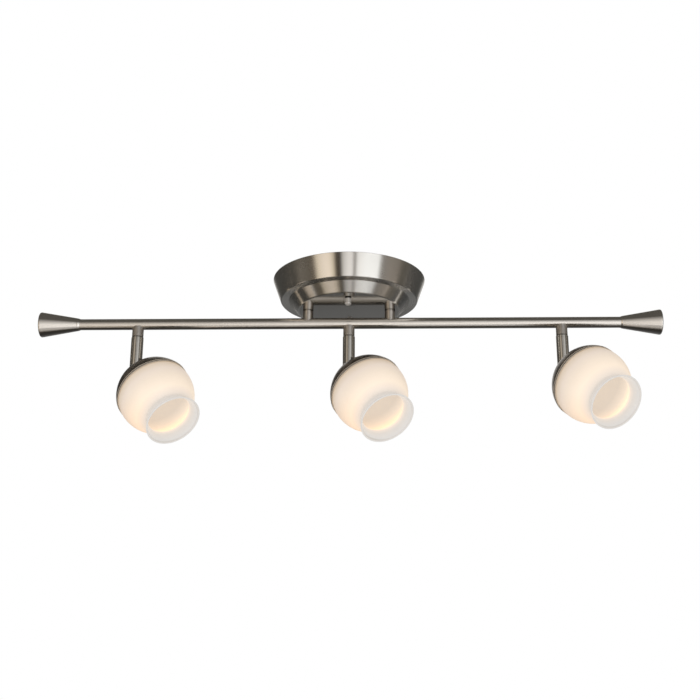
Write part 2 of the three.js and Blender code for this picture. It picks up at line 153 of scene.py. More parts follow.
def makeStudio(setup):
    world = bpy.data.worlds.new("studio")
    scene.world = world
    world.use_nodes = True
    tree = world.node_tree
    tree.nodes.clear()
    direction = addNode(tree, "ShaderNodeTexCoord").outputs["Generated"]
    axes = addNode(tree, "ShaderNodeSeparateXYZ", {0: direction}).outputs
    heading = addMath(tree, "ARCTAN2", axes[0], addMath(tree, "MULTIPLY", axes[1], -1.0))
    (lowest, tight), (level, full) = setup["spread"]
    spread = addNode(tree, "ShaderNodeMapRange", {0: axes[2], 1: lowest, 2: level, 3: tight, 4: full}).outputs[0]
    heading = addMath(tree, "MULTIPLY", heading, spread)
    share = addMath(tree, "MULTIPLY_ADD", heading, 0.5 / math.pi, 0.5)
    bands = addRamp(tree, share, [((angle + 180) / 360, color) for angle, color in setup["bands"]])
    upward = addMath(tree, "MULTIPLY_ADD", axes[2], 0.5, 0.5)
    under = addRamp(tree, upward, [((height + 1) / 2, (left, left, left)) for height, left in setup["fallingDim"]])
    lit = mixColors(tree, 1.0, bands, under, "MULTIPLY")
    low, high = setup["risingDim"]
    over = addNode(tree, "ShaderNodeMapRange", {0: axes[2], 1: low, 2: high}).outputs[0]
    lit = mixColors(tree, over, lit, setup["ceilingColor"])
    panel = setup["backPanel"]
    behind = addMath(tree, "ARCTAN2", axes[0], addMath(tree, "MULTIPLY", axes[1], -1.0))
    behind = addMath(tree, "ABSOLUTE", behind)
    mask = addNode(tree, "ShaderNodeMapRange", {0: behind, 1: panel["heading"][0], 2: panel["heading"][1]}).outputs[0]
    above = addNode(tree, "ShaderNodeMapRange", {0: axes[2], 1: panel["height"][0], 2: panel["height"][1]}).outputs[0]
    below = addNode(tree, "ShaderNodeMapRange", {0: axes[2], 1: panel["top"][1], 2: panel["top"][0]}).outputs[0]
    mask = addMath(tree, "MULTIPLY", mask, addMath(tree, "MULTIPLY", above, below))
    lit = mixColors(tree, mask, lit, panel["color"])
    path = addNode(tree, "ShaderNodeLightPath").outputs
    mirrored = addNode(tree, "ShaderNodeBackground", {0: lit, 1: 1.0}).outputs[0]
    soft = addNode(tree, "ShaderNodeBackground", {0: (*setup["softLight"], 1), 1: 1.0}).outputs[0]
    backdrop = addNode(tree, "ShaderNodeBackground", {0: (1, 1, 1, 1), 1: 1.0}).outputs[0]
    mixed = addNode(tree, "ShaderNodeMixShader", {0: path["Is Glossy Ray"], 1: soft, 2: mirrored}).outputs[0]
    mixed = addNode(tree, "ShaderNodeMixShader", {0: path["Is Camera Ray"], 1: mixed, 2: backdrop}).outputs[0]
    addNode(tree, "ShaderNodeOutputWorld", {0: mixed})

    half = setup["floorSize"] / 2
    mesh = bpy.data.meshes.new("paleFloor")
    corners = [(x * half, y * half, setup["floorLevel"]) for x, y in ((-1, -1), (1, -1), (1, 1), (-1, 1))]
    mesh.from_pydata(corners, [], [(0, 1, 2, 3)])
    floor = bpy.data.objects.new("paleFloor", mesh)
    scene.collection.objects.link(floor)
    floor.visible_glossy = False  # the bands stand for what the metal sees of the studio
    paint = bpy.data.materials.new("palePaint")
    paint.use_nodes = True
    shader = paint.node_tree.nodes["Principled BSDF"]
    speckle = addNode(paint.node_tree, "ShaderNodeTexNoise", {"Scale": 6.0}).outputs[0]
    tone = addRamp(paint.node_tree, speckle, [(0.3, (0.90, 0.89, 0.88)), (0.7, (0.94, 0.93, 0.92))])
    paint.node_tree.links.new(tone, shader.inputs["Base Color"])
    shader.inputs["Roughness"].default_value = 0.8
    shader.inputs["Emission Color"].default_value = (1, 1, 1, 1)
    shader.inputs["Emission Strength"].default_value = setup["floorGlow"]  # so no horizon shows against the white
    mesh.materials.append(paint)


makeStudio(studio)
print("studio ready")

# ---- shader groups ----


def newGroup(name, sockets):
    group = bpy.data.node_groups.new(name, "ShaderNodeTree")
    for label, direction, kind, value in sockets:
        socket = group.interface.new_socket(label, in_out=direction, socket_type=kind)
        if value is not None:
            socket.default_value = value
    source = group.nodes.new("NodeGroupInput")
    target = group.nodes.new("NodeGroupOutput")
    return group, source.outputs, target.inputs


def makeTurnedGrain():  # fine rings that a lathe or a brush leaves, even round the seam
    group, given, out = newGroup("turnedGrain", [
        ("Color", "INPUT", "NodeSocketColor", (0.7, 0.66, 0.6, 1)),
        ("Roughness", "INPUT", "NodeSocketFloat", 0.2),
        ("Rings", "INPUT", "NodeSocketFloat", 900.0),
        ("Contrast", "INPUT", "NodeSocketFloat", 0.06),
        ("Color", "OUTPUT", "NodeSocketColor", None),
        ("Roughness", "OUTPUT", "NodeSocketFloat", None),
        ("Height", "OUTPUT", "NodeSocketFloat", None),
    ])
    uv = addNode(group, "ShaderNodeUVMap", uv_map="turned").outputs[0]
    axes = addNode(group, "ShaderNodeSeparateXYZ", {0: uv}).outputs
    turn = addMath(group, "MULTIPLY", axes[0], 2 * math.pi)
    along = addMath(group, "MULTIPLY", axes[1], given["Rings"])
    ring = addNode(group, "ShaderNodeCombineXYZ", {
        0: addMath(group, "COSINE", turn), 1: addMath(group, "SINE", turn), 2: along})
    fine = addNode(group, "ShaderNodeTexNoise", {"Vector": ring.outputs[0], "Scale": 1.0, "Detail": 3.0}).outputs[0]
    slow = addNode(group, "ShaderNodeTexNoise", {"Vector": ring.outputs[0], "Scale": 0.11, "Detail": 1.0}).outputs[0]
    both = addMath(group, "MULTIPLY_ADD", fine, 0.7, addMath(group, "MULTIPLY", slow, 0.3))
    centred = addMath(group, "SUBTRACT", both, 0.5)
    tone = addMath(group, "MULTIPLY_ADD", centred, given["Contrast"], 1.0)
    shade = addNode(group, "ShaderNodeCombineColor", {0: tone, 1: tone, 2: tone}).outputs[0]
    group.links.new(mixColors(group, 1.0, given["Color"], shade, "MULTIPLY"), out["Color"])
    spread = addMath(group, "MULTIPLY_ADD", centred, addMath(group, "MULTIPLY", given["Contrast"], 0.8),
                     given["Roughness"])
    group.links.new(addMath(group, "MAXIMUM", spread, 0.03), out["Roughness"])
    group.links.new(both, out["Height"])
    return group


def makeHandling():  # faint cloudy marks that handling leaves on a polished face
    group, given, out = newGroup("handling", [
        ("Roughness", "INPUT", "NodeSocketFloat", 0.2),
        ("Amount", "INPUT", "NodeSocketFloat", 0.05),
        ("Size", "INPUT", "NodeSocketFloat", 30.0),
        ("Roughness", "OUTPUT", "NodeSocketFloat", None),
        ("Mask", "OUTPUT", "NodeSocketFloat", None),
    ])
    place = addNode(group, "ShaderNodeTexCoord").outputs["Object"]
    cloud = addNode(group, "ShaderNodeTexNoise", {
        "Vector": place, "Scale": given["Size"], "Detail": 4.0, "Distortion": 0.6}).outputs[0]
    mask = addNode(group, "ShaderNodeMapRange", {0: cloud, 1: 0.42, 2: 0.68}).outputs[0]
    group.links.new(addMath(group, "MULTIPLY_ADD", mask, given["Amount"], given["Roughness"]), out["Roughness"])
    group.links.new(mask, out["Mask"])
    return group


def makeEdgeWear():  # corners rubbed brighter, from how sharply the surface turns
    group, given, out = newGroup("edgeWear", [
        ("Color", "INPUT", "NodeSocketColor", (0.7, 0.66, 0.6, 1)),
        ("Worn", "INPUT", "NodeSocketColor", (0.85, 0.82, 0.78, 1)),
        ("Amount", "INPUT", "NodeSocketFloat", 0.4),
        ("Color", "OUTPUT", "NodeSocketColor", None),
    ])
    sharp = addNode(group, "ShaderNodeNewGeometry").outputs["Pointiness"]
    edge = addNode(group, "ShaderNodeMapRange", {0: sharp, 1: 0.52, 2: 0.60}).outputs[0]
    place = addNode(group, "ShaderNodeTexCoord").outputs["Object"]
    patchy = addNode(group, "ShaderNodeTexNoise", {"Vector": place, "Scale": 240.0, "Detail": 3.0}).outputs[0]
    mask = addMath(group, "MULTIPLY", addMath(group, "MULTIPLY", edge, patchy), given["Amount"])
    group.links.new(mixColors(group, mask, given["Color"], given["Worn"]), out["Color"])
    return group


turnedGrain = makeTurnedGrain()
handling = makeHandling()
edgeWear = makeEdgeWear()

# ---- materials ----


def newMaterial(name):
    material = bpy.data.materials.new(name)
    material.use_nodes = True
    tree = material.node_tree
    return material, tree, tree.nodes["Principled BSDF"]


def useGroup(tree, group, inputs):
    node = tree.nodes.new("ShaderNodeGroup")
    node.node_tree = group
    for key, value in inputs.items():
        if isinstance(value, bpy.types.NodeSocket):
            tree.links.new(value, node.inputs[key])
        else:
            node.inputs[key].default_value = value
    return node


def turnedMetal(name, color, worn, roughness, streak, rings, contrast, relief, marks,
                groove=None, polished=None, metallic=1.0):
    material, tree, shader = newMaterial(name)
    grain = useGroup(tree, turnedGrain, {
        "Color": (*color, 1), "Roughness": roughness, "Rings": rings, "Contrast": contrast})
    wear = useGroup(tree, edgeWear, {"Color": grain.outputs["Color"], "Worn": (*worn, 1)})
    smudge = useGroup(tree, handling, {"Roughness": grain.outputs["Roughness"], "Amount": marks})
    finish, gloss = wear.outputs["Color"], smudge.outputs["Roughness"]
    if groove or polished:
        length = addNode(tree, "ShaderNodeSeparateXYZ", {
            0: addNode(tree, "ShaderNodeUVMap", uv_map="turned").outputs[0]}).outputs[1]
    if polished:  # a smoother face up to this length along the profile, and painted shade there: its colour is made darker by the given share
        smoother = addNode(tree, "ShaderNodeMapRange", {
            0: length, 1: polished[0] - 0.001, 2: polished[0], 3: polished[1], 4: 1.0}).outputs[0]
        gloss = addMath(tree, "MULTIPLY", gloss, smoother)
        paintedShadeTone = addNode(tree, "ShaderNodeMapRange", {
            0: length, 1: polished[0] - 0.001, 2: polished[0], 3: polished[2], 4: 1.0}).outputs[0]
        paintedShadeTone = addNode(tree, "ShaderNodeCombineColor", {0: paintedShadeTone, 1: paintedShadeTone, 2: paintedShadeTone}).outputs[0]
        finish = mixColors(tree, 1.0, finish, paintedShadeTone, "MULTIPLY")
    if groove:  # painted shade: a near-black band between two lengths along the profile, in a groove or where the piece meets the next
        within = addMath(tree, "MULTIPLY", addMath(tree, "GREATER_THAN", length, groove[0]),
                         addMath(tree, "LESS_THAN", length, groove[1]))
        finish = mixColors(tree, within, finish, paintedGrooveShade)
    tree.links.new(finish, shader.inputs["Base Color"])
    tree.links.new(gloss, shader.inputs["Roughness"])
    bump = addNode(tree, "ShaderNodeBump", {"Height": grain.outputs["Height"], "Strength": relief, "Distance": 0.0001})
    tree.links.new(bump.outputs[0], shader.inputs["Normal"])
    across = addNode(tree, "ShaderNodeTangent", direction_type="UV_MAP", uv_map="turned")
    tree.links.new(across.outputs[0], shader.inputs["Tangent"])
    shader.inputs["Anisotropic"].default_value = streak
    shader.inputs["Anisotropic Rotation"].default_value = 0.25
    shader.inputs["Metallic"].default_value = metallic
    return material


def mouldedOrPlated(name, color, worn, roughness, metallic, grit):
    material, tree, shader = newMaterial(name)
    place = addNode(tree, "ShaderNodeTexCoord").outputs["Object"]
    speckle = addNode(tree, "ShaderNodeTexNoise", {"Vector": place, "Scale": grit, "Detail": 5.0}).outputs[0]
    darker = tuple(0.86 * c for c in color)
    tone = addRamp(tree, speckle, [(0.35, darker), (0.65, color)])
    wear = useGroup(tree, edgeWear, {"Color": tone, "Worn": (*worn, 1)})
    smudge = useGroup(tree, handling, {"Roughness": roughness, "Amount": 0.08})
    tree.links.new(wear.outputs["Color"], shader.inputs["Base Color"])
    tree.links.new(smudge.outputs["Roughness"], shader.inputs["Roughness"])
    bump = addNode(tree, "ShaderNodeBump", {"Height": speckle, "Strength": 0.15, "Distance": 0.0001})
    tree.links.new(bump.outputs[0], shader.inputs["Normal"])
    shader.inputs["Metallic"].default_value = metallic
    return material


nickel = (0.72, 0.70, 0.66)
brightNickel = (0.86, 0.84, 0.80)
# painted shade: the near-black colour put into grooves and joins
paintedGrooveShade = (0.03, 0.026, 0.022)
# painted shade: on the canopy's bottom disc the same nickel is made darker (0.6) as well as smoother (0.35)
brushedNickel = turnedMetal("brushedNickel", nickel, brightNickel, 0.24, 1.0, 1400.0, 0.10, 0.05, 0.04,
                            None, (0.0575, 0.35, 0.6))
barNickel = turnedMetal("barNickel", (0.80, 0.765, 0.715), brightNickel, 0.205, 1.0, 900.0, 0.06, 0.002, 0.02)
# painted shade: the top of each post tube, just under its seat, is painted near-black as a contact shadow
satinNickel = turnedMetal("satinNickel", (0.64, 0.60, 0.555), brightNickel, 0.34, 0.3, 2600.0, 0.36, 0.25, 0.05,
                          (0.0135, 1.0))
collarNickel = turnedMetal("collarNickel", (0.56, 0.525, 0.485), brightNickel, 0.46, 0.2, 2600.0, 0.40, 0.25, 0.05)
stemNickel = turnedMetal("stemNickel", (0.72, 0.69, 0.64), brightNickel, 0.15, 0.8, 2200.0, 0.10, 0.03, 0.03)
# painted shade: the back cups are the same nickel as the rest, made much darker as a shaded copy
shadedCupNickel = turnedMetal("shadedCupNickel", (0.26, 0.235, 0.21), (0.50, 0.46, 0.42), 0.26, 0.6, 1600.0, 0.14, 0.08, 0.05)
zincSteel = mouldedOrPlated("zincSteel", (0.62, 0.64, 0.65), (0.80, 0.81, 0.82), 0.36, 1.0, 420.0)
blackNylon = mouldedOrPlated("blackNylon", (0.022, 0.021, 0.020), (0.05, 0.05, 0.05), 0.5, 0.0, 900.0)
whiteCeramic = mouldedOrPlated("whiteCeramic", (0.86, 0.84, 0.79), (0.92, 0.91, 0.88), 0.55, 0.0, 700.0)
blackInsulation = mouldedOrPlated("blackInsulation", (0.03, 0.03, 0.03), (0.06, 0.06, 0.06), 0.45, 0.0, 500.0)
whiteInsulation = mouldedOrPlated("whiteInsulation", (0.78, 0.77, 0.74), (0.85, 0.84, 0.82), 0.45, 0.0, 500.0)
orangeMoulding = mouldedOrPlated("orangeMoulding", (0.72, 0.24, 0.04), (0.85, 0.40, 0.15), 0.38, 0.0, 350.0)
greenPlating = mouldedOrPlated("greenPlating", (0.06, 0.26, 0.09), (0.5, 0.55, 0.45), 0.35, 0.9, 380.0)

glow = {
    # along the shade from the back hole to the lip, in millimetres from the middle of the globe
    "outside": [(-42, (0.26, 0.17, 0.09)), (-11, (0.31, 0.20, 0.10)), (-5, (0.41, 0.30, 0.19)),
                (4, (0.51, 0.405, 0.32)), (13, (0.575, 0.46, 0.345)), (25, (0.69, 0.55, 0.41)), (31, (0.56, 0.47, 0.39)),
                (35, (0.40, 0.36, 0.32)), (45.5, (0.38, 0.37, 0.36))],
    "inside": [(-42, (0.34, 0.30, 0.27)), (-5, (0.37, 0.33, 0.30)), (8, (0.57, 0.49, 0.42)),
               (20, (0.92, 0.73, 0.51)), (31, (0.95, 0.75, 0.52)), (35, (0.52, 0.45, 0.40)), (38, (0.40, 0.38, 0.36)),
               (44, (0.39, 0.39, 0.39)), (46, (0.24, 0.235, 0.22))],
    "lowSide": (1.12, 0.95, 0.79), "lowFrom": -0.150, "lowTo": -0.186,  # warmer under the globe
    "body": (0.40, 0.385, 0.365), "roughness": 0.42,
    "rimDim": 0.82,  # how much of its light the glass keeps where it is seen edge on
}


def makeOpalGlass(setup):
    material, tree, shader = newMaterial("opalGlass")
    along = addNode(tree, "ShaderNodeAttribute", attribute_name="along").outputs["Fac"]
    innerWall = addNode(tree, "ShaderNodeAttribute", attribute_name="innerWall").outputs["Fac"]
    start, end = setup["outside"][0][0], setup["outside"][-1][0]
    share = addNode(tree, "ShaderNodeMapRange", {0: along, 1: start * mm, 2: end * mm}).outputs[0]
    place = addNode(tree, "ShaderNodeTexCoord").outputs["Object"]
    cloud = addNode(tree, "ShaderNodeTexNoise", {"Vector": place, "Scale": 22.0, "Detail": 2.0}).outputs[0]
    softened = addMath(tree, "MULTIPLY_ADD", addMath(tree, "SUBTRACT", cloud, 0.5), 0.05, share)
    outside = addRamp(tree, softened, [((at - start) / (end - start), color) for at, color in setup["outside"]])
    inside = addRamp(tree, softened, [((at - start) / (end - start), color) for at, color in setup["inside"]])
    light = mixColors(tree, innerWall, outside, inside)
    facing = addNode(tree, "ShaderNodeLayerWeight", {"Blend": 0.35}).outputs["Facing"]
    keep = addNode(tree, "ShaderNodeMapRange", {0: facing, 1: 0.0, 2: 1.0, 3: 1.0, 4: setup["rimDim"]}).outputs[0]
    dim = addNode(tree, "ShaderNodeCombineColor", {0: keep, 1: keep, 2: keep}).outputs[0]
    height = addNode(tree, "ShaderNodeSeparateXYZ", {0: place}).outputs[2]
    low = addNode(tree, "ShaderNodeMapRange", {0: height, 1: setup["lowFrom"], 2: setup["lowTo"]},
                  interpolation_type="SMOOTHSTEP").outputs[0]
    onGlobe = addNode(tree, "ShaderNodeMapRange", {0: along, 1: 0.027, 2: 0.035, 3: 1.0, 4: 0.0}).outputs[0]
    low = addMath(tree, "MULTIPLY", low, onGlobe)
    light = mixColors(tree, low, light, mixColors(tree, 1.0, light, setup["lowSide"], "MULTIPLY"))
    tree.links.new(mixColors(tree, 1.0, light, dim, "MULTIPLY"), shader.inputs["Emission Color"])
    shader.inputs["Emission Strength"].default_value = 1.0
    body = addRamp(tree, cloud, [(0.3, tuple(0.97 * c for c in setup["body"])), (0.7, setup["body"])])
    tree.links.new(body, shader.inputs["Base Color"])
    smudge = useGroup(tree, handling, {"Roughness": setup["roughness"], "Amount": 0.06})
    tree.links.new(smudge.outputs["Roughness"], shader.inputs["Roughness"])
    return material


def makeLampGlass():
    material, tree, shader = newMaterial("lampGlass")
    place = addNode(tree, "ShaderNodeTexCoord").outputs["Object"]
    frost = addNode(tree, "ShaderNodeTexNoise", {"Vector": place, "Scale": 160.0, "Detail": 3.0}).outputs[0]
    tone = addRamp(tree, frost, [(0.3, (0.95, 0.80, 0.50)), (0.7, (1.0, 0.88, 0.60))])
    tree.links.new(tone, shader.inputs["Emission Color"])
    tree.links.new(tone, shader.inputs["Base Color"])
    shader.inputs["Emission Strength"].default_value = 1.2
    shader.inputs["Roughness"].default_value = 0.3
    return material


opalGlass = makeOpalGlass(glow)
lampGlass = makeLampGlass()
print("materials ready")

# ---- mesh helpers ----


def roundCorner(before, corner, after, reach, steps=6):
    before, corner, after = Vector(before), Vector(corner), Vector(after)
    start = corner + (before - corner).normalized() * reach
    end = corner + (after - corner).normalized() * reach
    points = []
    for i in range(steps + 1):
        t = i / steps
        points.append(tuple(start * (1 - t) ** 2 + corner * (2 * t * (1 - t)) + end * t * t))
    return points


def softened(profile, reaches, steps=5):
    points = [profile[0]]
    for i in range(1, len(profile) - 1):
        reach = reaches.get(i, 0) if isinstance(reaches, dict) else reaches
        if reach:
            points += roundCorner(profile[i - 1], profile[i], profile[i + 1], reach, steps)
        else:
            points.append(profile[i])
    return points + [profile[-1]]


def lengthTo(profile, index):  # along the profile in metres
    return sum(math.dist(a, b) for a, b in zip(profile[:index], profile[1:index + 1])) * mm


def turnedMesh(name, profile, segments):
    # profile points (radius, height) in millimetres; a closed shape or one that starts and ends on the axis
    shape = bmesh.new()
    layer = shape.loops.layers.uv.new("turned")
    lengths = [0.0]
    for (r1, z1), (r2, z2) in zip(profile, profile[1:]):
        lengths.append(lengths[-1] + math.hypot(r2 - r1, z2 - z1) * mm)
    rings = []
    for r, z in profile:
        if r < 1e-6:
            rings.append([shape.verts.new((0, 0, z * mm))])
        else:
            rings.append([shape.verts.new((r * mm * math.cos(2 * math.pi * k / segments),
                                           r * mm * math.sin(2 * math.pi * k / segments), z * mm))
                          for k in range(segments)])
    for i in range(len(profile) - 1):
        low, high = rings[i], rings[i + 1]
        if len(low) == 1 and len(high) == 1:
            continue
        for k in range(segments):
            n = (k + 1) % segments
            if len(low) == 1:
                corners = [(low[0], k + 0.5, i), (high[n], k + 1, i + 1), (high[k], k, i + 1)]
            elif len(high) == 1:
                corners = [(low[k], k, i), (low[n], k + 1, i), (high[0], k + 0.5, i + 1)]
            else:
                corners = [(low[k], k, i), (low[n], k + 1, i), (high[n], k + 1, i + 1), (high[k], k, i + 1)]
            face = shape.faces.new([corner[0] for corner in corners])
            for loop, (_, turn, row) in zip(face.loops, corners):
                loop[layer].uv = (turn / segments, lengths[row])
    bmesh.ops.remove_doubles(shape, verts=shape.verts, dist=1e-7)
    bmesh.ops.recalc_face_normals(shape, faces=shape.faces)
    mesh = bpy.data.meshes.new(name)
    shape.to_mesh(mesh)
    shape.free()
    return mesh


def smoothMesh(mesh, angle=32):
    shape = bmesh.new()
    shape.from_mesh(mesh)
    for face in shape.faces:
        face.smooth = True
    for edge in shape.edges:
        edge.smooth = len(edge.link_faces) != 2 or edge.calc_face_angle(0) < math.radians(angle)
    shape.to_mesh(mesh)
    shape.free()


def finishPiece(name, mesh, material, body, nodes, place=None, angle=32):
    if place is not None:
        mesh.transform(place)
    mesh.materials.clear()
    mesh.materials.append(material)
    smoothMesh(mesh, angle)
    piece = bpy.data.objects.new(name, mesh)
    scene.collection.objects.link(piece)
    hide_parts(*nodes)
    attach(piece, body)
    return piece


def joinMeshes(name, meshes):
    shape = bmesh.new()
    for mesh in meshes:
        shape.from_mesh(mesh)
    joined = bpy.data.meshes.new(name)
    shape.to_mesh(joined)
    shape.free()
    return joined


def evaluatedMesh(name, mesh, modify):
    helper = bpy.data.objects.new(name + "Helper", mesh)
    scene.collection.objects.link(helper)
    modify(helper)
    graph = bpy.context.evaluated_depsgraph_get()
    result = bpy.data.meshes.new_from_object(helper.evaluated_get(graph))
    result.name = name
    helper.modifiers.clear()
    bpy.data.objects.remove(helper)
    return result


def cutAway(name, mesh, cutters):
    tools = []
    for cutter in cutters:
        tool = bpy.data.objects.new("cutter", cutter)
        scene.collection.objects.link(tool)
        tools.append(tool)

    def modify(helper):
        for tool in tools:
            boolean = helper.modifiers.new("cut", "BOOLEAN")
            boolean.object = tool
            boolean.operation = "DIFFERENCE"
            boolean.solver = "EXACT"

    result = evaluatedMesh(name, mesh, modify)
    for tool in tools:
        bpy.data.objects.remove(tool)
    return result


def boxMesh(name, low, high, edge=0.0):
    shape = bmesh.new()
    bmesh.ops.create_cube(shape, size=1.0)
    for vert in shape.verts:
        vert.co = Vector([(low[i] if vert.co[i] < 0 else high[i]) * mm for i in range(3)])
    if edge:
        bmesh.ops.bevel(shape, geom=shape.edges[:], offset=edge * mm, segments=3, affect="EDGES")
    mesh = bpy.data.meshes.new(name)
    shape.to_mesh(mesh)
    shape.free()
    return mesh


alongX = Matrix.Rotation(math.pi / 2, 4, "Y")
alongY = Matrix.Rotation(-math.pi / 2, 4, "X")


def moveTo(x, y, z):
    return Matrix.Translation((x * mm, y * mm, z * mm))


# ---- geometry node trees ----


def newTree(name, sockets):
    tree = bpy.data.node_groups.new(name, "GeometryNodeTree")
    for label, direction, kind, value in sockets:
        socket = tree.interface.new_socket(label, in_out=direction, socket_type=kind)
        if value is not None:
            socket.default_value = value
    return tree, tree.nodes.new("NodeGroupInput").outputs, tree.nodes.new("NodeGroupOutput").inputs


def runTree(name, mesh, tree, values):
    identifiers = {item.name: item.identifier for item in tree.interface.items_tree
                   if item.item_type == "SOCKET" and item.in_out == "INPUT"}

    def modify(helper):
        modifier = helper.modifiers.new("build", "NODES")
        modifier.node_group = tree
        for key, value in values.items():
            modifier[identifiers[key]] = value

    return evaluatedMesh(name, mesh, modify)


def finishTree(tree, geometry, material, out):
    whole = addNode(tree, "GeometryNodeRealizeInstances", {0: geometry}).outputs[0]
    painted = addNode(tree, "GeometryNodeSetMaterial", {"Geometry": whole, "Material": material}).outputs[0]
    tree.links.new(painted, out["Geometry"])


def makeRowTree():  # copies of one piece along a straight row
    tree, given, out = newTree("pieceRow", [
        ("Geometry", "INPUT", "NodeSocketGeometry", None),
        ("Count", "INPUT", "NodeSocketInt", 2),
        ("First", "INPUT", "NodeSocketVector", (0, 0, 0)),
        ("Step", "INPUT", "NodeSocketVector", (0.1, 0, 0)),
        ("Finish", "INPUT", "NodeSocketMaterial", None),
        ("Geometry", "OUTPUT", "NodeSocketGeometry", None),
    ])
    row = addNode(tree, "GeometryNodeMeshLine", {
        "Count": given["Count"], "Start Location": given["First"], "Offset": given["Step"]}, mode="OFFSET")
    placed = addNode(tree, "GeometryNodeInstanceOnPoints", {"Points": row.outputs[0], "Instance": given["Geometry"]})
    finishTree(tree, placed.outputs[0], given["Finish"], out)
    return tree


def makeRingTree():  # copies of one piece round the Z axis
    tree, given, out = newTree("pieceRing", [
        ("Geometry", "INPUT", "NodeSocketGeometry", None),
        ("Count", "INPUT", "NodeSocketInt", 12),
        ("Finish", "INPUT", "NodeSocketMaterial", None),
        ("Geometry", "OUTPUT", "NodeSocketGeometry", None),
    ])
    row = addNode(tree, "GeometryNodeMeshLine", {"Count": given["Count"], "Offset": (0, 0, 0)}, mode="OFFSET")
    index = addNode(tree, "GeometryNodeInputIndex").outputs[0]
    share = addMath(tree, "DIVIDE", index, given["Count"])
    turn = addNode(tree, "ShaderNodeCombineXYZ", {2: addMath(tree, "MULTIPLY", share, 2 * math.pi)}).outputs[0]
    placed = addNode(tree, "GeometryNodeInstanceOnPoints", {
        "Points": row.outputs[0], "Instance": given["Geometry"], "Rotation": turn})
    finishTree(tree, placed.outputs[0], given["Finish"], out)
    return tree


def makeThreadTree():  # a ridge wound round a rod
    tree, given, out = newTree("threadWinding", [
        ("Geometry", "INPUT", "NodeSocketGeometry", None),
        ("Radius", "INPUT", "NodeSocketFloat", 0.002),
        ("Pitch", "INPUT", "NodeSocketFloat", 0.0008),
        ("Length", "INPUT", "NodeSocketFloat", 0.04),
        ("Finish", "INPUT", "NodeSocketMaterial", None),
        ("Geometry", "OUTPUT", "NodeSocketGeometry", None),
    ])
    turns = addMath(tree, "DIVIDE", given["Length"], given["Pitch"])
    ridge = addMath(tree, "MULTIPLY", given["Pitch"], 0.42)
    middle = addMath(tree, "SUBTRACT", given["Radius"], ridge)
    winding = addNode(tree, "GeometryNodeCurveSpiral", {
        "Resolution": 24, "Rotations": turns, "Start Radius": middle, "End Radius": middle, "Height": given["Length"]})
    section = addNode(tree, "GeometryNodeCurvePrimitiveCircle", {"Resolution": 4, "Radius": ridge})
    swept = addNode(tree, "GeometryNodeCurveToMesh", {
        "Curve": winding.outputs[0], "Profile Curve": section.outputs[0], "Fill Caps": True})
    both = tree.nodes.new("GeometryNodeJoinGeometry")
    tree.links.new(given["Geometry"], both.inputs[0])
    tree.links.new(swept.outputs[0], both.inputs[0])
    finishTree(tree, both.outputs[0], given["Finish"], out)
    return tree


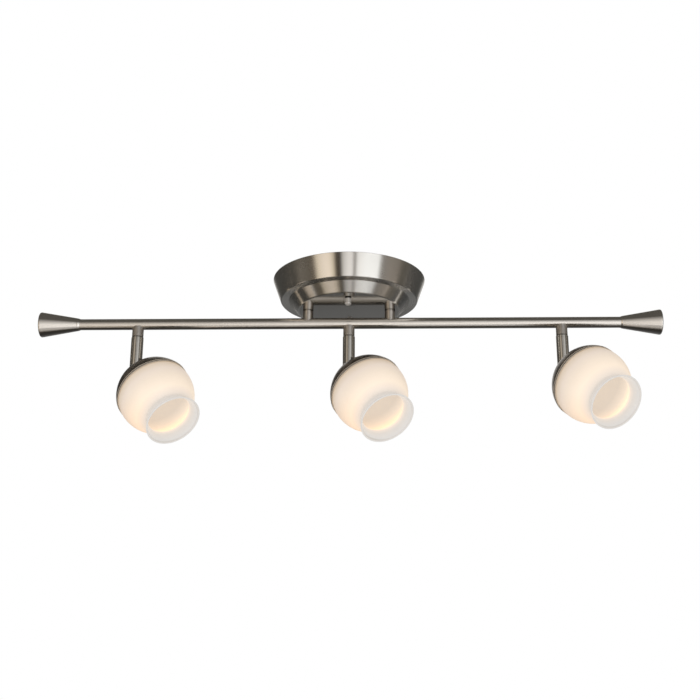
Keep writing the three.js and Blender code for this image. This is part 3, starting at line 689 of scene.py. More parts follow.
def makeShadeTree():  # globe, neck and flared mouth swept round the aim, from a few sizes
    sizes = ("Radius", "Wall", "Neck Angle", "Back Hole", "Lip Radius", "Lip Reach", "Lip Wall", "Flare Pull")
    sockets = [(label, "INPUT", "NodeSocketFloat", 0.01) for label in sizes]
    tree, given, out = newTree("blownShade", sockets + [
        ("Segments", "INPUT", "NodeSocketInt", 96),
        ("Finish", "INPUT", "NodeSocketMaterial", None),
        ("Geometry", "OUTPUT", "NodeSocketGeometry", None),
    ])

    def point(x, y):
        return addNode(tree, "ShaderNodeCombineXYZ", {0: x, 1: y}).outputs[0]

    def onGlobe(radius, angle):  # angle from straight ahead
        return (addMath(tree, "MULTIPLY", radius, addMath(tree, "SINE", angle)),
                addMath(tree, "MULTIPLY", addMath(tree, "MULTIPLY", radius, addMath(tree, "COSINE", angle)), -1.0))

    def flare(radius, angle, lipX, lipY, wall):
        neckX, neckY = onGlobe(radius, angle)
        pull = given["Flare Pull"]
        startHandle = point(addMath(tree, "SUBTRACT", neckX, addMath(tree, "MULTIPLY", pull, addMath(tree, "COSINE", angle))),
                            addMath(tree, "SUBTRACT", neckY, addMath(tree, "MULTIPLY", pull, addMath(tree, "SINE", angle))))
        endHandle = point(addMath(tree, "SUBTRACT", lipX, addMath(tree, "MULTIPLY", pull, 1.1)),
                          addMath(tree, "ADD", lipY, addMath(tree, "MULTIPLY", pull, 1.67)))
        curve = addNode(tree, "GeometryNodeCurvePrimitiveBezierSegment", {
            "Resolution": 14, "Start": point(neckX, neckY), "Start Handle": startHandle,
            "End Handle": endHandle, "End": point(lipX, lipY)}, mode="POSITION").outputs[0]
        return addNode(tree, "GeometryNodeStoreNamedAttribute", {"Geometry": curve, "Name": "innerWall", "Value": wall},
                       data_type="FLOAT", domain="POINT").outputs[0]

    def globe(radius, angle, backX, wall):
        backAngle = addMath(tree, "SUBTRACT", math.pi, addMath(tree, "ARCSINE", addMath(tree, "DIVIDE", backX, radius)))
        curve = addNode(tree, "GeometryNodeCurveArc", {
            "Resolution": 48, "Radius": radius, "Start Angle": addMath(tree, "SUBTRACT", angle, math.pi / 2),
            "Sweep Angle": addMath(tree, "SUBTRACT", backAngle, angle)}, mode="RADIUS").outputs[0]
        stored = addNode(tree, "GeometryNodeStoreNamedAttribute", {"Geometry": curve, "Name": "innerWall", "Value": wall},
                         data_type="FLOAT", domain="POINT").outputs[0]
        return stored, onGlobe(radius, backAngle)

    innerRadius = addMath(tree, "SUBTRACT", given["Radius"], given["Wall"])
    lipY = addMath(tree, "MULTIPLY", given["Lip Reach"], -1.0)
    innerLip = addMath(tree, "SUBTRACT", given["Lip Radius"], given["Lip Wall"])
    outerFlare = flare(given["Radius"], given["Neck Angle"], given["Lip Radius"], lipY, 0.0)
    innerFlare = flare(innerRadius, addMath(tree, "SUBTRACT", given["Neck Angle"], 0.02), innerLip, lipY, 1.0)
    outerGlobe, outerBack = globe(given["Radius"], given["Neck Angle"], given["Back Hole"], 0.0)
    innerGlobe, innerBack = globe(innerRadius, addMath(tree, "SUBTRACT", given["Neck Angle"], 0.02), given["Back Hole"], 1.0)
    lipDrop = addMath(tree, "SUBTRACT", lipY, addMath(tree, "MULTIPLY", given["Lip Wall"], 0.55))
    lip = addNode(tree, "GeometryNodeCurvePrimitiveBezierSegment", {
        "Resolution": 8, "Start": point(given["Lip Radius"], lipY), "Start Handle": point(given["Lip Radius"], lipDrop),
        "End Handle": point(innerLip, lipDrop), "End": point(innerLip, lipY)}, mode="POSITION").outputs[0]
    backEdge = addNode(tree, "GeometryNodeCurvePrimitiveLine", {
        "Start": point(*outerBack), "End": point(*innerBack)}, mode="POINTS").outputs[0]
    axisCircle = addNode(tree, "GeometryNodeCurvePrimitiveCircle", {"Resolution": given["Segments"], "Radius": 1e-5})
    surfaces = tree.nodes.new("GeometryNodeJoinGeometry")
    for curve in (outerFlare, outerGlobe, backEdge, innerGlobe, innerFlare, lip):
        swept = addNode(tree, "GeometryNodeCurveToMesh", {"Curve": axisCircle.outputs[0], "Profile Curve": curve})
        tree.links.new(swept.outputs[0], surfaces.inputs[0])
    welded = addNode(tree, "GeometryNodeMergeByDistance", {"Geometry": surfaces.outputs[0], "Distance": 0.00002})
    height = addNode(tree, "ShaderNodeSeparateXYZ", {0: addNode(tree, "GeometryNodeInputPosition").outputs[0]}).outputs[2]
    marked = addNode(tree, "GeometryNodeStoreNamedAttribute", {
        "Geometry": welded.outputs[0], "Name": "along", "Value": height}, data_type="FLOAT", domain="POINT")
    turned = addNode(tree, "GeometryNodeTransform", {"Geometry": marked.outputs[0], "Rotation": (math.pi, 0, 0)})
    finishTree(tree, turned.outputs[0], given["Finish"], out)
    return tree


rowTree = makeRowTree()
ringTree = makeRingTree()
threadTree = makeThreadTree()
shadeTree = makeShadeTree()
print("node trees ready")


def outward(mesh):
    shape = bmesh.new()
    shape.from_mesh(mesh)
    bmesh.ops.remove_doubles(shape, verts=shape.verts, dist=2e-6)
    bmesh.ops.recalc_face_normals(shape, faces=shape.faces)
    if shape.calc_volume(signed=True) < 0:
        bmesh.ops.reverse_faces(shape, faces=shape.faces)
    shape.to_mesh(mesh)
    shape.free()
    return mesh


# ---- canopy ----

canopy = {
    "rimRadius": 87.4, "shoulderRadius": 78.4, "stepRadius": 69.3, "discRadius": 58.5,
    "shoulderZ": -25.6, "discZ": -36.8, "wall": 1.2,
    "rimEdge": 0.5, "shoulderEdge": 1.5, "stepEdge": 0.8, "discEdge": 1.6, "segments": 192,
}


def makeCanopy(size):
    wall = size["wall"]
    outside = [
        (0, size["discZ"]), (size["discRadius"], size["discZ"]), (size["stepRadius"], size["shoulderZ"]),
        (size["shoulderRadius"], size["shoulderZ"]), (size["rimRadius"], 0), (size["rimRadius"] - wall, 0),
    ]
    outside = softened(outside, {1: size["discEdge"], 2: size["stepEdge"], 3: size["shoulderEdge"], 4: size["rimEdge"]}, 8)
    inside = [
        (size["shoulderRadius"] - wall, size["shoulderZ"] + wall), (size["stepRadius"] - 0.5 * wall, size["shoulderZ"] + wall),
        (size["discRadius"] - 0.5 * wall, size["discZ"] + wall), (0, size["discZ"] + wall),
    ]
    inside = softened([outside[-1]] + inside, 1.0)[1:]
    mesh = turnedMesh("canopyShell", outside + inside, size["segments"])
    finishPiece("canopyShell", mesh, brushedNickel, "fixture", ["canopy"])


makeCanopy(canopy)

# ---- bar, end caps, posts and collars ----

bar = {"radius": 6.35, "wall": 1.0, "z": -51.6, "half": 312.2, "segments": 96}
endCap = {
    "start": 312.0, "end": 355.5, "smallRadius": 7.45, "bigRadius": 14.5, "rimEdge": 2.3, "dome": 0.8,
    "shoulderStart": 308.8, "shoulderRadius": 6.45, "spigotRadius": 5.05, "spigot": 12.0, "segments": 128,
}
post = {"x": 47.0, "radius": 6.0, "bore": 4.9, "topZ": -37.55, "seatRadius": 5.1, "seatZ": -36.85, "segments": 96}
collar = {"radius": 6.45, "bore": 4.3, "topZ": -55.0, "bottomZ": -67.3, "segments": 96}


def makeBar(size):
    profile = [(size["radius"] - size["wall"], -size["half"]), (size["radius"], -size["half"]),
               (size["radius"], size["half"]), (size["radius"] - size["wall"], size["half"]),
               (size["radius"] - size["wall"], -size["half"])]
    fine = [profile[0]]
    for i in range(41):  # rows along the tube keep the grain's coordinates even
        fine.append((size["radius"], -size["half"] + 2 * size["half"] * i / 40))
    fine += profile[3:]
    mesh = turnedMesh("barTube", fine, size["segments"])
    finishPiece("barTube", mesh, barNickel, "fixture", ["bar_tube"], moveTo(0, 0, size["z"]) @ alongX)


def makeEndCap(size, side):
    face = (0, size["end"])
    profile = [
        (0, size["start"] - size["spigot"]), (size["spigotRadius"], size["start"] - size["spigot"]),
        (size["spigotRadius"], size["shoulderStart"]), (size["shoulderRadius"], size["shoulderStart"]),
        (size["smallRadius"] - 0.12, size["start"] - 1.0), (size["smallRadius"] - 0.12, size["start"] - 0.35),
        (size["smallRadius"] - 0.35, size["start"] - 0.15), (size["smallRadius"], size["start"]),
        (size["bigRadius"] + 0.3, size["end"] - size["dome"]),
        (size["bigRadius"] * 0.5, size["end"] - size["dome"] * 0.25), face,
    ]
    rounded = softened(profile, {3: 0.3, 4: 0.8, 8: size["rimEdge"], 9: 3.0}, 8)
    mesh = turnedMesh("endCap", rounded, size["segments"])
    turn = alongX if side > 0 else Matrix.Rotation(-math.pi / 2, 4, "Y")
    label = "right" if side > 0 else "left"
    finishPiece("endCap" + label.capitalize(), mesh, barNickel, "fixture",
                ["end_cap_" + label], moveTo(0, 0, bar["z"]) @ turn, 28)


def copedSleeve(name, radius, bore, endZ, side, lipZ, segments):
    # a tube whose other end follows the round of the bar up to lipZ; side 1 stands on it, -1 hangs under it
    rows = 8
    ends = []
    shape = bmesh.new()
    layer = shape.loops.layers.uv.new("turned")
    for r in (radius, bore):
        rings = []
        for row in range(rows + 1):
            ring = []
            for k in range(segments):
                angle = 2 * math.pi * k / segments
                x, y = r * math.cos(angle), r * math.sin(angle)
                seat = bar["z"] + side * (math.sqrt(max(bar["radius"] ** 2 - y * y, 0)) - 0.12)
                seat = max(seat, lipZ) if side > 0 else min(seat, lipZ)
                z = seat + (endZ - seat) * row / rows
                ring.append(shape.verts.new((x * mm, y * mm, z * mm)))
            rings.append(ring)
        ends.append(rings)
    outer, inner = ends

    def quad(a, b, c, d, turn, low, high):
        face = shape.faces.new((a, b, c, d))
        for loop, uv in zip(face.loops, ((turn, low), (turn + 1, low), (turn + 1, high), (turn, high))):
            loop[layer].uv = (uv[0] / segments, uv[1] * mm)

    length = abs(endZ - bar["z"])
    for k in range(segments):
        n = (k + 1) % segments
        for row in range(rows):
            low, high = length * row / rows, length * (row + 1) / rows
            quad(outer[row][k], outer[row][n], outer[row + 1][n], outer[row + 1][k], k, low, high)
            quad(inner[row][n], inner[row][k], inner[row + 1][k], inner[row + 1][n], k, low, high)
        quad(inner[0][k], inner[0][n], outer[0][n], outer[0][k], k, 0, radius - bore)
        quad(outer[-1][k], outer[-1][n], inner[-1][n], inner[-1][k], k, 0, radius - bore)
    bmesh.ops.recalc_face_normals(shape, faces=shape.faces)
    sharp = [edge for edge in shape.edges if edge.calc_face_angle(0) > 1.2]
    bmesh.ops.bevel(shape, geom=sharp, offset=0.3 * mm, segments=2, affect="EDGES")
    mesh = bpy.data.meshes.new(name)
    shape.to_mesh(mesh)
    shape.free()
    return mesh


def repeat(name, mesh, count, first, step, material):
    return runTree(name, mesh, rowTree, {
        "Count": count, "First": [v * mm for v in first], "Step": [v * mm for v in step], "Finish": material})


makeBar(bar)
for side in (-1, 1):
    makeEndCap(endCap, side)

onePost = copedSleeve("post", post["radius"], post["bore"], post["topZ"], 1, bar["z"], post["segments"])
seat = turnedMesh("postSeat", [
    (post["bore"], post["topZ"] - 1), (post["seatRadius"], post["topZ"] - 1), (post["seatRadius"], post["seatZ"]),
    (post["bore"], post["seatZ"]), (post["bore"], post["topZ"] - 1)], post["segments"])
onePost = joinMeshes("post", [onePost, seat])
posts = repeat("posts", onePost, 2, (-post["x"], 0, 0), (2 * post["x"], 0, 0), satinNickel)
finishPiece("posts", posts, satinNickel, "fixture", ["post_1", "post_2"])

headSpacing = 242.0
oneCollar = copedSleeve("collar", collar["radius"], collar["bore"], collar["bottomZ"], -1, collar["topZ"],
                        collar["segments"])
collars = repeat("collars", oneCollar, 3, (-headSpacing, 0, 0), (headSpacing, 0, 0), collarNickel)
finishPiece("collars", collars, collarNickel, "fixture", ["collar_left", "collar_middle", "collar_right"])
print("canopy, bar, end caps, posts and collars ready")

# ---- cap nuts, studs, nipples, nuts, crossbar and ground screw ----

capNut = {
    "y": 43.0, "topZ": -36.85, "neckRadius": 3.35, "neckHeight": 0.9,
    "barrelRadius": 3.5, "headRadius": 3.75, "height": 8.8, "boreRadius": 2.1, "boreDepth": 5.4, "segments": 64,
}
stud = {"radius": 2.0, "top": -0.3, "bottom": -41.6, "pitch": 0.8, "nutFlats": 7.0, "nutTop": -2.8, "nutHeight": 2.8}
nipple = {"radius": 4.6, "bore": 3.4, "top": -27.0, "bottom": -44.95, "pitch": 1.0,
          "nutFlats": 14.0, "nutBottom": -35.3, "nutHeight": 4.0}


def makeCapNuts(size):
    low, neck = -size["height"], -size["neckHeight"]
    barrel, head = size["barrelRadius"], size["headRadius"]
    profile = [
        (0, -size["boreDepth"]), (size["boreRadius"], -size["boreDepth"]), (size["boreRadius"], 0),
        (size["neckRadius"], 0), (size["neckRadius"], neck), (barrel, neck - 0.15), (barrel, low + 3.6),
        (barrel - 0.3, low + 3.3), (head - 0.1, low + 2.8), (head, low + 2.0), (head * 0.82, low + 0.85),
        (head * 0.45, low + 0.16), (0, low),
    ]
    # painted shade: the cap nut's top face and neck, where it meets the canopy, are painted near-black
    finish = turnedMetal("capNickel", (0.60, 0.575, 0.54), brightNickel, 0.32, 0.0, 1900.0, 0.30, 0.10, 0.05,
                         (lengthTo(profile, 2), lengthTo(profile, 4) + 0.0003), None, 0.6)
    mesh = turnedMesh("capNut", softened(profile, {9: 0.4, 10: 0.8, 11: 0.8}, 4), size["segments"])
    nuts = repeat("capNuts", mesh, 2, (0, -size["y"], size["topZ"]), (0, 2 * size["y"], 0), finish)
    finishPiece("capNuts", nuts, finish, "fixture", ["cap_nut_1", "cap_nut_2"], None, 40)


def hexNutMesh(name, flats, bore, height, segments=48):
    # six flats with the corners turned off at both ends
    across = flats / 2
    shape = bmesh.new()
    rings = []
    for z, limit in ((0, across * 1.02), (height * 0.12, None), (height * 0.88, None), (height, across * 1.02)):
        ring = []
        for k in range(segments):
            angle = 2 * math.pi * k / segments
            within = (angle + math.pi / 6) % (math.pi / 3) - math.pi / 6
            r = across / math.cos(within)
            if limit:
                r = min(r, limit)
            ring.append(shape.verts.new((r * mm * math.cos(angle), r * mm * math.sin(angle), z * mm)))
        rings.append(ring)
    for z in (height, 0):
        rings.append([shape.verts.new((bore * mm * math.cos(2 * math.pi * k / segments),
                                       bore * mm * math.sin(2 * math.pi * k / segments), z * mm))
                      for k in range(segments)])
    rings.append(rings[0])
    for low, high in zip(rings, rings[1:]):
        for k in range(segments):
            n = (k + 1) % segments
            shape.faces.new((low[k], low[n], high[n], high[k]))
    bmesh.ops.recalc_face_normals(shape, faces=shape.faces)
    mesh = bpy.data.meshes.new(name)
    shape.to_mesh(mesh)
    shape.free()
    return mesh


def makeThreaded(name, core, radius, pitch, low, high, firstX, firstY, material, nodes, along):
    length = (high - low) * mm
    wound = runTree(name, core, threadTree, {
        "Radius": radius * mm, "Pitch": pitch * mm, "Length": length, "Finish": material})
    wound.transform(moveTo(0, 0, low))
    step = (-2 * firstX, 0, 0) if along == "x" else (0, -2 * firstY, 0)
    pair = repeat(name, wound, 2, (firstX, firstY, 0), step, material)
    finishPiece(name, pair, material, "fixture", nodes)


def makeFixings():
    ridge = stud["pitch"] * 0.5
    inner = stud["radius"] - ridge
    length = stud["top"] - stud["bottom"]
    core = turnedMesh("studCore", [(0, 0), (inner, 0), (inner, length), (0, length)], 24)
    makeThreaded("mountingStuds", core, stud["radius"], stud["pitch"], stud["bottom"], stud["top"],
                 0, -capNut["y"], zincSteel, ["mounting_stud_1", "mounting_stud_2"], "y")
    ridge = nipple["pitch"] * 0.5
    inner = nipple["radius"] - ridge
    length = nipple["top"] - nipple["bottom"]
    core = turnedMesh("nippleCore", [(nipple["bore"], 0), (inner, 0), (inner, length), (nipple["bore"], length),
                                     (nipple["bore"], 0)], 48)
    makeThreaded("postNipples", core, nipple["radius"], nipple["pitch"], nipple["bottom"], nipple["top"],
                 -post["x"], 0, zincSteel, ["post_nipple_1", "post_nipple_2"], "x")
    small = hexNutMesh("studNut", stud["nutFlats"], stud["radius"] + 0.05, stud["nutHeight"])
    nuts = repeat("studLockNuts", small, 2, (0, -capNut["y"], stud["nutTop"] - stud["nutHeight"]),
                  (0, 2 * capNut["y"], 0), zincSteel)
    finishPiece("studLockNuts", nuts, zincSteel, "fixture", ["stud_lock_nut_1", "stud_lock_nut_2"])
    large = hexNutMesh("postNut", nipple["nutFlats"], nipple["radius"] + 0.05, nipple["nutHeight"])
    nuts = repeat("postLockNuts", large, 2, (-post["x"], 0, nipple["nutBottom"]), (2 * post["x"], 0, 0), zincSteel)
    finishPiece("postLockNuts", nuts, zincSteel, "fixture", ["post_lock_nut_1", "post_lock_nut_2"])


crossbar = {
    "length": 108.0, "width": 22.0, "thickness": 2.5, "edge": 0.3,
    "slotY": 33.0, "slotLength": 12.0, "slotWidth": 4.6, "studHole": 2.3, "groundHole": (6.5, 4.0, 1.9),
}


def addOutline(curve, points):
    spline = curve.splines.new("POLY")
    spline.points.add(len(points) - 1)
    for target, (x, y) in zip(spline.points, points):
        target.co = (x * mm, y * mm, 0, 1)
    spline.use_cyclic_u = True


def stadium(x, y, width, length, steps=20):
    points = []
    for end, start in ((1, 0), (-1, math.pi)):
        for i in range(steps + 1):
            angle = start + math.pi * i / steps
            points.append((x + width / 2 * math.cos(angle),
                           y + end * (length - width) / 2 + width / 2 * math.sin(angle)))
    return points


def makeCrossbar(size):
    curve = bpy.data.curves.new("crossbarOutline", "CURVE")
    curve.dimensions = "2D"
    curve.fill_mode = "BOTH"
    curve.extrude = (size["thickness"] / 2 - size["edge"]) * mm
    curve.bevel_depth = size["edge"] * mm
    curve.bevel_resolution = 2
    curve.offset = -size["edge"] * mm
    addOutline(curve, stadium(0, 0, size["width"], size["length"]))
    for side in (-1, 1):
        addOutline(curve, stadium(0, side * size["slotY"], size["slotWidth"], size["slotLength"]))
        addOutline(curve, stadium(0, side * capNut["y"], 2 * size["studHole"], 2 * size["studHole"]))
    x, y, r = size["groundHole"]
    addOutline(curve, stadium(x, y, 2 * r, 2 * r))
    helper = bpy.data.objects.new("crossbarHelper", curve)
    scene.collection.objects.link(helper)
    graph = bpy.context.evaluated_depsgraph_get()
    mesh = bpy.data.meshes.new_from_object(helper.evaluated_get(graph))
    bpy.data.objects.remove(helper)
    finishPiece("crossbar", outward(mesh), zincSteel, "fixture", ["mounting_crossbar"],
                moveTo(0, 0, -size["thickness"] / 2))


groundScrew = {"x": 6.5, "y": 4.0, "seatZ": -2.8, "headRadius": 3.6, "headHeight": 2.1, "shank": 1.6, "tip": 2.5,
               "slotWidth": 0.9, "slotDepth": 0.9}


def makeGroundScrew(size):
    profile = [
        (0, -size["headHeight"]), (size["headRadius"] * 0.72, -size["headHeight"]),
        (size["headRadius"], -size["headHeight"] * 0.55), (size["headRadius"], 0), (size["shank"], 0),
        (size["shank"], size["tip"] - 0.4), (size["shank"] - 0.4, size["tip"]), (0, size["tip"]),
    ]
    mesh = turnedMesh("groundScrew", softened(profile, {2: 0.3, 3: 0.2}, 4), 48)
    half = size["slotWidth"] / 2
    slot = boxMesh("slotCutter", (-6, -half, -size["headHeight"] - 1), (6, half, -size["headHeight"] + size["slotDepth"]))
    mesh = cutAway("groundScrew", mesh, [slot])
    finishPiece("groundScrew", mesh, greenPlating, "fixture", ["ground_screw"],
                moveTo(size["x"], size["y"], size["seatZ"]))


makeCapNuts(capNut)
makeFixings()
makeCrossbar(crossbar)
makeGroundScrew(groundScrew)
print("fixings ready")

# ---- wires and connectors ----

wiring = {
    "radius": 1.0, "spacing": 3.4, "barWireZ": -49.4, "barWireEnd": 242.0,
    "connectorX": -33.6, "connectorY": 16.0, "connectorZ": -17.5, "mouthRadius": 4.6, "endRadius": 3.2,
    "length": 12.0, "bore": 1.9, "boreDepth": 6.0, "ribs": 12,
}


def wireMesh(name, points, radius):
    curve = bpy.data.curves.new(name, "CURVE")
    curve.dimensions = "3D"
    curve.bevel_depth = radius * mm
    curve.bevel_resolution = 5
    curve.use_fill_caps = True
    spline = curve.splines.new("BEZIER")
    spline.bezier_points.add(len(points) - 1)
    for target, place in zip(spline.bezier_points, points):
        target.co = Vector(place) * mm
        target.handle_left_type = target.handle_right_type = "AUTO"
    curve.resolution_u = 10
    helper = bpy.data.objects.new(name + "Helper", curve)
    scene.collection.objects.link(helper)
    graph = bpy.context.evaluated_depsgraph_get()
    mesh = bpy.data.meshes.new_from_object(helper.evaluated_get(graph))
    bpy.data.objects.remove(helper)
    return outward(mesh)


def makeWiring(size):
    x, y, z = size["connectorX"] - 2.4, size["connectorY"], size["connectorZ"]
    finishes = (("Line", "line", -1, blackInsulation, "black_wire"), ("Neutral", "neutral", 1, whiteInsulation, "white_wire"))
    for label, node, side, material, slotName in finishes:
        wireY, endY = side * size["spacing"] / 2, side * y
        path = [(-post["x"], wireY, -45.4), (-post["x"], wireY, -34), (-post["x"] + 0.4, wireY, -25),
                (-post["x"] + 4, wireY + endY * 0.25, z - 1.5), (x - 2, endY * 0.75, z), (x + 2, endY, z)]
        finishPiece("feedWire" + label, wireMesh("feedWire", path, size["radius"]), material, "fixture",
                    ["feed_wire_" + node])
        ends = [(-size["barWireEnd"], wireY, size["barWireZ"]), (0, wireY, size["barWireZ"]),
                (size["barWireEnd"], wireY, size["barWireZ"])]
        finishPiece("barWire" + label, wireMesh("barWire", ends, size["radius"]), material, "fixture",
                    ["bar_wire_" + node])
        profile = [
            (0, size["boreDepth"]), (size["bore"], size["boreDepth"]), (size["bore"], 0), (size["mouthRadius"], 0),
            (size["endRadius"], size["length"] - 0.6), (0, size["length"]),
        ]
        cone = turnedMesh("connector", softened(profile, {3: 0.3, 4: 1.2}, 4), 48)
        rib = boxMesh("rib", (0, -0.3, 1.0), (0.55, 0.3, size["length"] - 2.0), 0.15)
        slope = math.atan2(size["mouthRadius"] - size["endRadius"], size["length"])
        rib.transform(moveTo(size["mouthRadius"] - 0.32, 0, 0) @ Matrix.Rotation(-slope, 4, "Y"))
        ribs = runTree("connectorRibs", rib, ringTree, {"Count": size["ribs"], "Finish": orangeMoulding})
        whole = joinMeshes("connector", [cone, ribs])
        finishPiece("wireConnector" + label, whole, orangeMoulding, "fixture",
                    ["wire_connector_" + node], moveTo(size["connectorX"], endY, z) @ alongX)


makeWiring(wiring)
print("wiring ready")

# ---- heads ----

stem = {
    "radius": 6.95, "topZ": -68.2, "bottomZ": -105.4, "bottomEdge": 2.0, "slotTopZ": -94.4, "slotWidth": 4.6,
    "bore": 4.3, "pocketTop": -71.2, "pocketRadius": 5.3, "pocketBottom": -88.0, "wirePassage": 1.8,
    "washerRadius": 6.35, "washerTop": -67.42, "washerBottom": -68.08, "segments": 96,
}
tiltScrew = {"radius": 1.5, "headRadius": 2.35, "headFrom": 5.3, "headHeight": 1.9, "length": 13.6, "slot": 0.55}
knuckle = {"thickness": 3.8, "radius": 5.4, "seatRadius": 8.0, "seatZ": -14.6, "seatThickness": 2.4,
           "stubRadius": 4.0, "stubEnd": -21.6}
cup = {"radius": 43.6, "wall": 1.0, "rimBack": 11.2, "hole": 4.2, "segments": 160}
ring = {"width": 3.8, "seatGap": 0.2, "bead": 1.35, "groove": 0.9}
shade = {"centre": 58.7, "radius": 42.0, "wall": 2.0, "neckAngle": 40.0, "backHole": 12.0,
         "lipRadius": 31.2, "lipReach": 45.5, "lipWall": 1.6, "flarePull": 3.0, "segments": 128}
lampHolder = {"radius": 9.0, "back": -17.2, "front": -31.6, "socket": 4.25, "socketEnd": -22.0}
lamp = {"baseRadius": 5.0, "radius": 6.5, "back": -32.0, "front": -65.0}


def arcPoints(radius, centre, start, end, steps):
    points = []
    for i in range(steps + 1):
        angle = start + (end - start) * i / steps
        points.append((radius * math.sin(angle), centre - radius * math.cos(angle)))
    return points


def makeStem(name, place):
    size = stem
    down = size["bottomZ"]
    profile = [
        (size["wirePassage"], down), (size["radius"], down), (size["radius"], size["topZ"]), (size["bore"], size["topZ"]),
        (size["bore"], size["pocketTop"]), (size["pocketRadius"], size["pocketTop"]),
        (size["pocketRadius"], size["pocketBottom"]), (size["wirePassage"], size["pocketBottom"] - 2),
        (size["wirePassage"], down),
    ]
    profile = softened(profile, {1: size["bottomEdge"], 2: 0.3}, 8)
    rows = []
    for low, high in zip(profile, profile[1:]):
        rows.append(low)
        if abs(high[1] - low[1]) > 12 and low[0] > 5.5:
            rows += [(low[0], low[1] + (high[1] - low[1]) * i / 6) for i in range(1, 6)]
    rows.append(profile[-1])
    mesh = turnedMesh("stem", rows, size["segments"])
    half = size["slotWidth"] / 2
    slot = boxMesh("slotCutter", (-9, -half, down - 5), (9, half, size["slotTopZ"]))
    pivotZ = -101.9
    seat = tiltScrew["headFrom"] - 0.25
    bore = turnedMesh("boreCutter", [(0, seat), (tiltScrew["headRadius"] + 0.3, seat),
                                     (tiltScrew["headRadius"] + 0.3, 12), (0, 12)], 32)
    bore.transform(moveTo(0, 0, pivotZ) @ alongY)
    through = turnedMesh("throughCutter", [(0, -12), (tiltScrew["radius"] + 0.15, -12),
                                           (tiltScrew["radius"] + 0.15, 12), (0, 12)], 32)
    through.transform(moveTo(0, 0, pivotZ) @ alongY)
    mesh = cutAway("stem", mesh, [slot, bore, through])
    finishPiece("stem" + name.capitalize(), mesh, stemNickel, "stem_" + name, ["stem_" + name], place, 30)
    ring = [(size["bore"], size["washerBottom"]), (size["washerRadius"], size["washerBottom"]),
            (size["washerRadius"], size["washerTop"]), (size["bore"], size["washerTop"]),
            (size["bore"], size["washerBottom"])]
    washer = turnedMesh("washer", softened(ring, {1: 0.15, 2: 0.15}, 3), 64)
    finishPiece("washer" + name.capitalize(), washer, blackNylon, "stem_" + name, ["swivel_washer_" + name], place)
    return pivotZ


def makeTiltScrew(name, place):
    size = tiltScrew
    end = size["headFrom"] + size["headHeight"]
    profile = [
        (0, end - size["length"]), (size["radius"] - 0.25, end - size["length"]),
        (size["radius"], end - size["length"] + 0.25), (size["radius"], size["headFrom"]),
        (size["headRadius"], size["headFrom"]), (size["headRadius"], end - 0.5),
        (size["headRadius"] * 0.75, end), (0, end),
    ]
    mesh = turnedMesh("tiltScrew", softened(profile, {5: 0.3, 6: 0.3}, 4), 40)
    half = size["slot"] / 2
    slot = boxMesh("slotCutter", (-4, -half, end - 0.7), (4, half, end + 1))
    mesh = cutAway("tiltScrew", mesh, [slot])
    finishPiece("tiltScrew" + name.capitalize(), mesh, zincSteel, "stem_" + name, ["tilt_screw_" + name],
                place @ alongY)


def makeKnuckle(name, place):
    size = knuckle
    outline = [(size["radius"] * math.cos(math.pi * i / 24), size["radius"] * math.sin(math.pi * i / 24)) for i in range(25)]
    outline += [(-size["radius"], size["seatZ"] + 1), (size["radius"], size["seatZ"] + 1)]
    curve = bpy.data.curves.new("tongueOutline", "CURVE")
    curve.dimensions = "2D"
    curve.fill_mode = "BOTH"
    curve.extrude = (size["thickness"] / 2 - 0.25) * mm
    curve.bevel_depth = 0.25 * mm
    curve.offset = -0.25 * mm
    curve.bevel_resolution = 2
    addOutline(curve, outline)
    helper = bpy.data.objects.new("tongueHelper", curve)
    scene.collection.objects.link(helper)
    graph = bpy.context.evaluated_depsgraph_get()
    tongue = outward(bpy.data.meshes.new_from_object(helper.evaluated_get(graph)))
    bpy.data.objects.remove(helper)
    tongue.transform(Matrix.Rotation(math.pi / 2, 4, "X"))
    top = size["seatZ"] + size["seatThickness"]
    profile = [
        (0, size["stubEnd"]), (size["stubRadius"], size["stubEnd"]), (size["stubRadius"], size["seatZ"]),
        (size["seatRadius"], size["seatZ"]), (size["seatRadius"], top - 0.8), (size["seatRadius"] - 1, top), (0, top),
    ]
    base = turnedMesh("knuckleBase", softened(profile, {4: 0.3, 5: 0.3}, 4), 64)
    mesh = joinMeshes("knuckle", [tongue, base])
    if "turned" not in mesh.uv_layers:
        mesh.uv_layers.new(name="turned")
    finishPiece("knuckle" + name.capitalize(), mesh, stemNickel, "head_" + name, ["knuckle_" + name], place)


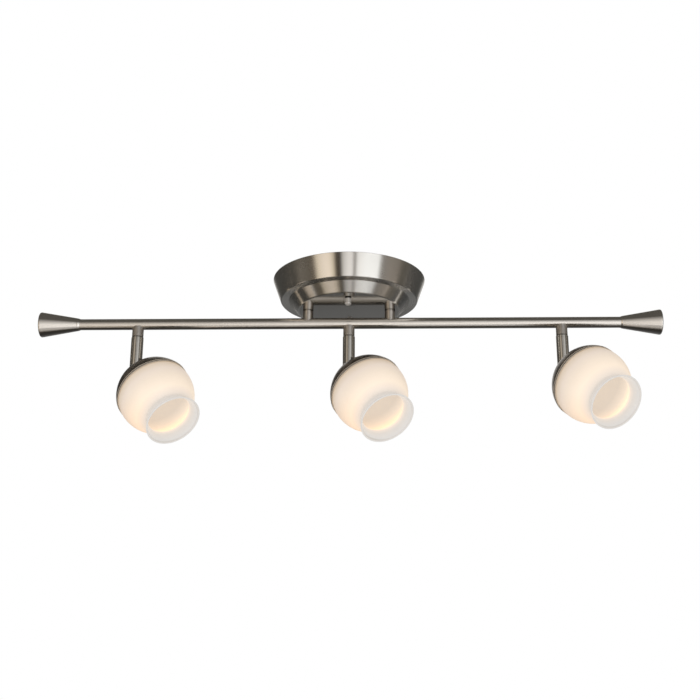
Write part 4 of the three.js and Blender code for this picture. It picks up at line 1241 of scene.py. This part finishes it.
def makeCup(name, place):
    size = cup
    centre = -shade["centre"]
    inner = size["radius"] - size["wall"]
    rim = math.pi - math.acos(size["rimBack"] / size["radius"])
    innerRim = math.pi - math.acos(size["rimBack"] / inner)
    outside = arcPoints(size["radius"], centre, rim, math.pi - math.asin(size["hole"] / size["radius"]), 40)
    inside = arcPoints(inner, centre, math.pi - math.asin(size["hole"] / inner), innerRim, 40)
    profile = outside + inside + [outside[0]]
    mesh = turnedMesh("backCup", profile, size["segments"])
    finishPiece("backCup" + name.capitalize(), mesh, shadedCupNickel, "head_" + name, ["back_cup_" + name], place, 50)

    size = ring
    back, front = cup["rimBack"] - size["seatGap"], cup["rimBack"] - size["seatGap"] - size["width"]
    bore = math.sqrt(shade["radius"] ** 2 - front ** 2) + 0.3
    outer = math.sqrt(cup["radius"] ** 2 - back ** 2)
    high, low = centre + back, centre + front
    profile = [
        (bore, low), (outer - 0.2, low), (outer, low + 0.25), (outer, low + size["bead"]),
        (outer - size["groove"], low + size["bead"] + 0.15), (outer - size["groove"], high - size["bead"] - 0.15),
        (outer, high - size["bead"]), (outer, high - 0.25), (outer - 0.2, high), (bore, high), (bore, low),
    ]
    # painted shade: the groove between the ring's two beads is painted near-black
    finish = bpy.data.materials.get("ringNickel") or turnedMetal(
        "ringNickel", (0.62, 0.52, 0.41), brightNickel, 0.40, 0.0, 1200.0, 0.10, 0.05, 0.03,
        (lengthTo(profile, 3) - 0.0001, lengthTo(profile, 6) + 0.0001), None, 0.35)
    mesh = turnedMesh("shadeRing", profile, cup["segments"])
    finishPiece("shadeRing" + name.capitalize(), mesh, finish, "head_" + name, ["shade_ring_" + name],
                place, 40)


def makeShade(name, place):
    size = shade
    empty = bpy.data.meshes.new("blownShade")
    mesh = runTree("glassShade", empty, shadeTree, {
        "Radius": size["radius"] * mm, "Wall": size["wall"] * mm, "Neck Angle": math.radians(size["neckAngle"]),
        "Back Hole": size["backHole"] * mm, "Lip Radius": size["lipRadius"] * mm, "Lip Reach": size["lipReach"] * mm,
        "Lip Wall": size["lipWall"] * mm, "Flare Pull": size["flarePull"] * mm, "Segments": size["segments"],
        "Finish": opalGlass})
    outward(mesh)
    finishPiece("glassShade" + name.capitalize(), mesh, opalGlass, "head_" + name, ["glass_shade_" + name],
                place @ moveTo(0, 0, -size["centre"]), 60)


def makeLamp(name, place):
    size = lampHolder
    profile = [
        (0, size["front"]), (size["radius"], size["front"]), (size["radius"], size["back"]), (size["socket"], size["back"]),
        (size["socket"], size["socketEnd"]), (0, size["socketEnd"]),
    ]
    holder = turnedMesh("lampHolder", softened(profile, {1: 1.0, 2: 1.0}, 5), 64)
    finishPiece("lampHolder" + name.capitalize(), holder, whiteCeramic, "head_" + name, ["lamp_holder_" + name], place)
    size = lamp
    profile = [(0, size["front"])]
    for i in range(1, 9):
        angle = math.pi / 2 * i / 8
        profile.append((size["radius"] * math.sin(angle), size["front"] + size["radius"] * (1 - math.cos(angle))))
    profile += [
        (size["radius"], size["back"] - 11), (size["baseRadius"], size["back"] - 8), (size["baseRadius"], size["back"]),
        (0, size["back"]),
    ]
    glass = turnedMesh("lamp", profile, 48)
    finishPiece("lamp" + name.capitalize(), glass, lampGlass, "head_" + name, ["bulb_" + name], place, 40)


for joint in frame["joints"]:
    if not joint["name"].startswith("tilt_"):
        continue
    name = joint["name"][len("tilt_"):]
    x, y, z = joint["pos_m"]
    turn = math.atan2(joint["axis"][0], -joint["axis"][1])
    tilt = -math.radians(joint["range_deg"][0])
    swivelPlace = Matrix.Translation((x, y, 0)) @ Matrix.Rotation(turn, 4, "Z")
    pivotPlace = Matrix.Translation((x, y, z)) @ Matrix.Rotation(turn, 4, "Z")
    aimPlace = pivotPlace @ Matrix.Rotation(-tilt, 4, "Y")
    makeStem(name, swivelPlace)
    makeTiltScrew(name, pivotPlace)
    makeKnuckle(name, aimPlace)
    makeCup(name, aimPlace)
    makeLamp(name, aimPlace)
    makeShade(name, aimPlace)
    print("head", name, "ready")

# ---- hidden pieces that stay as the frame made them ----

for name in ("left", "middle", "right"):
    hidden = frame["nodes"]["swivel_nipple_" + name]
    hidden.data.materials.clear()
    hidden.data.materials.append(zincSteel)

print("all pieces ready")
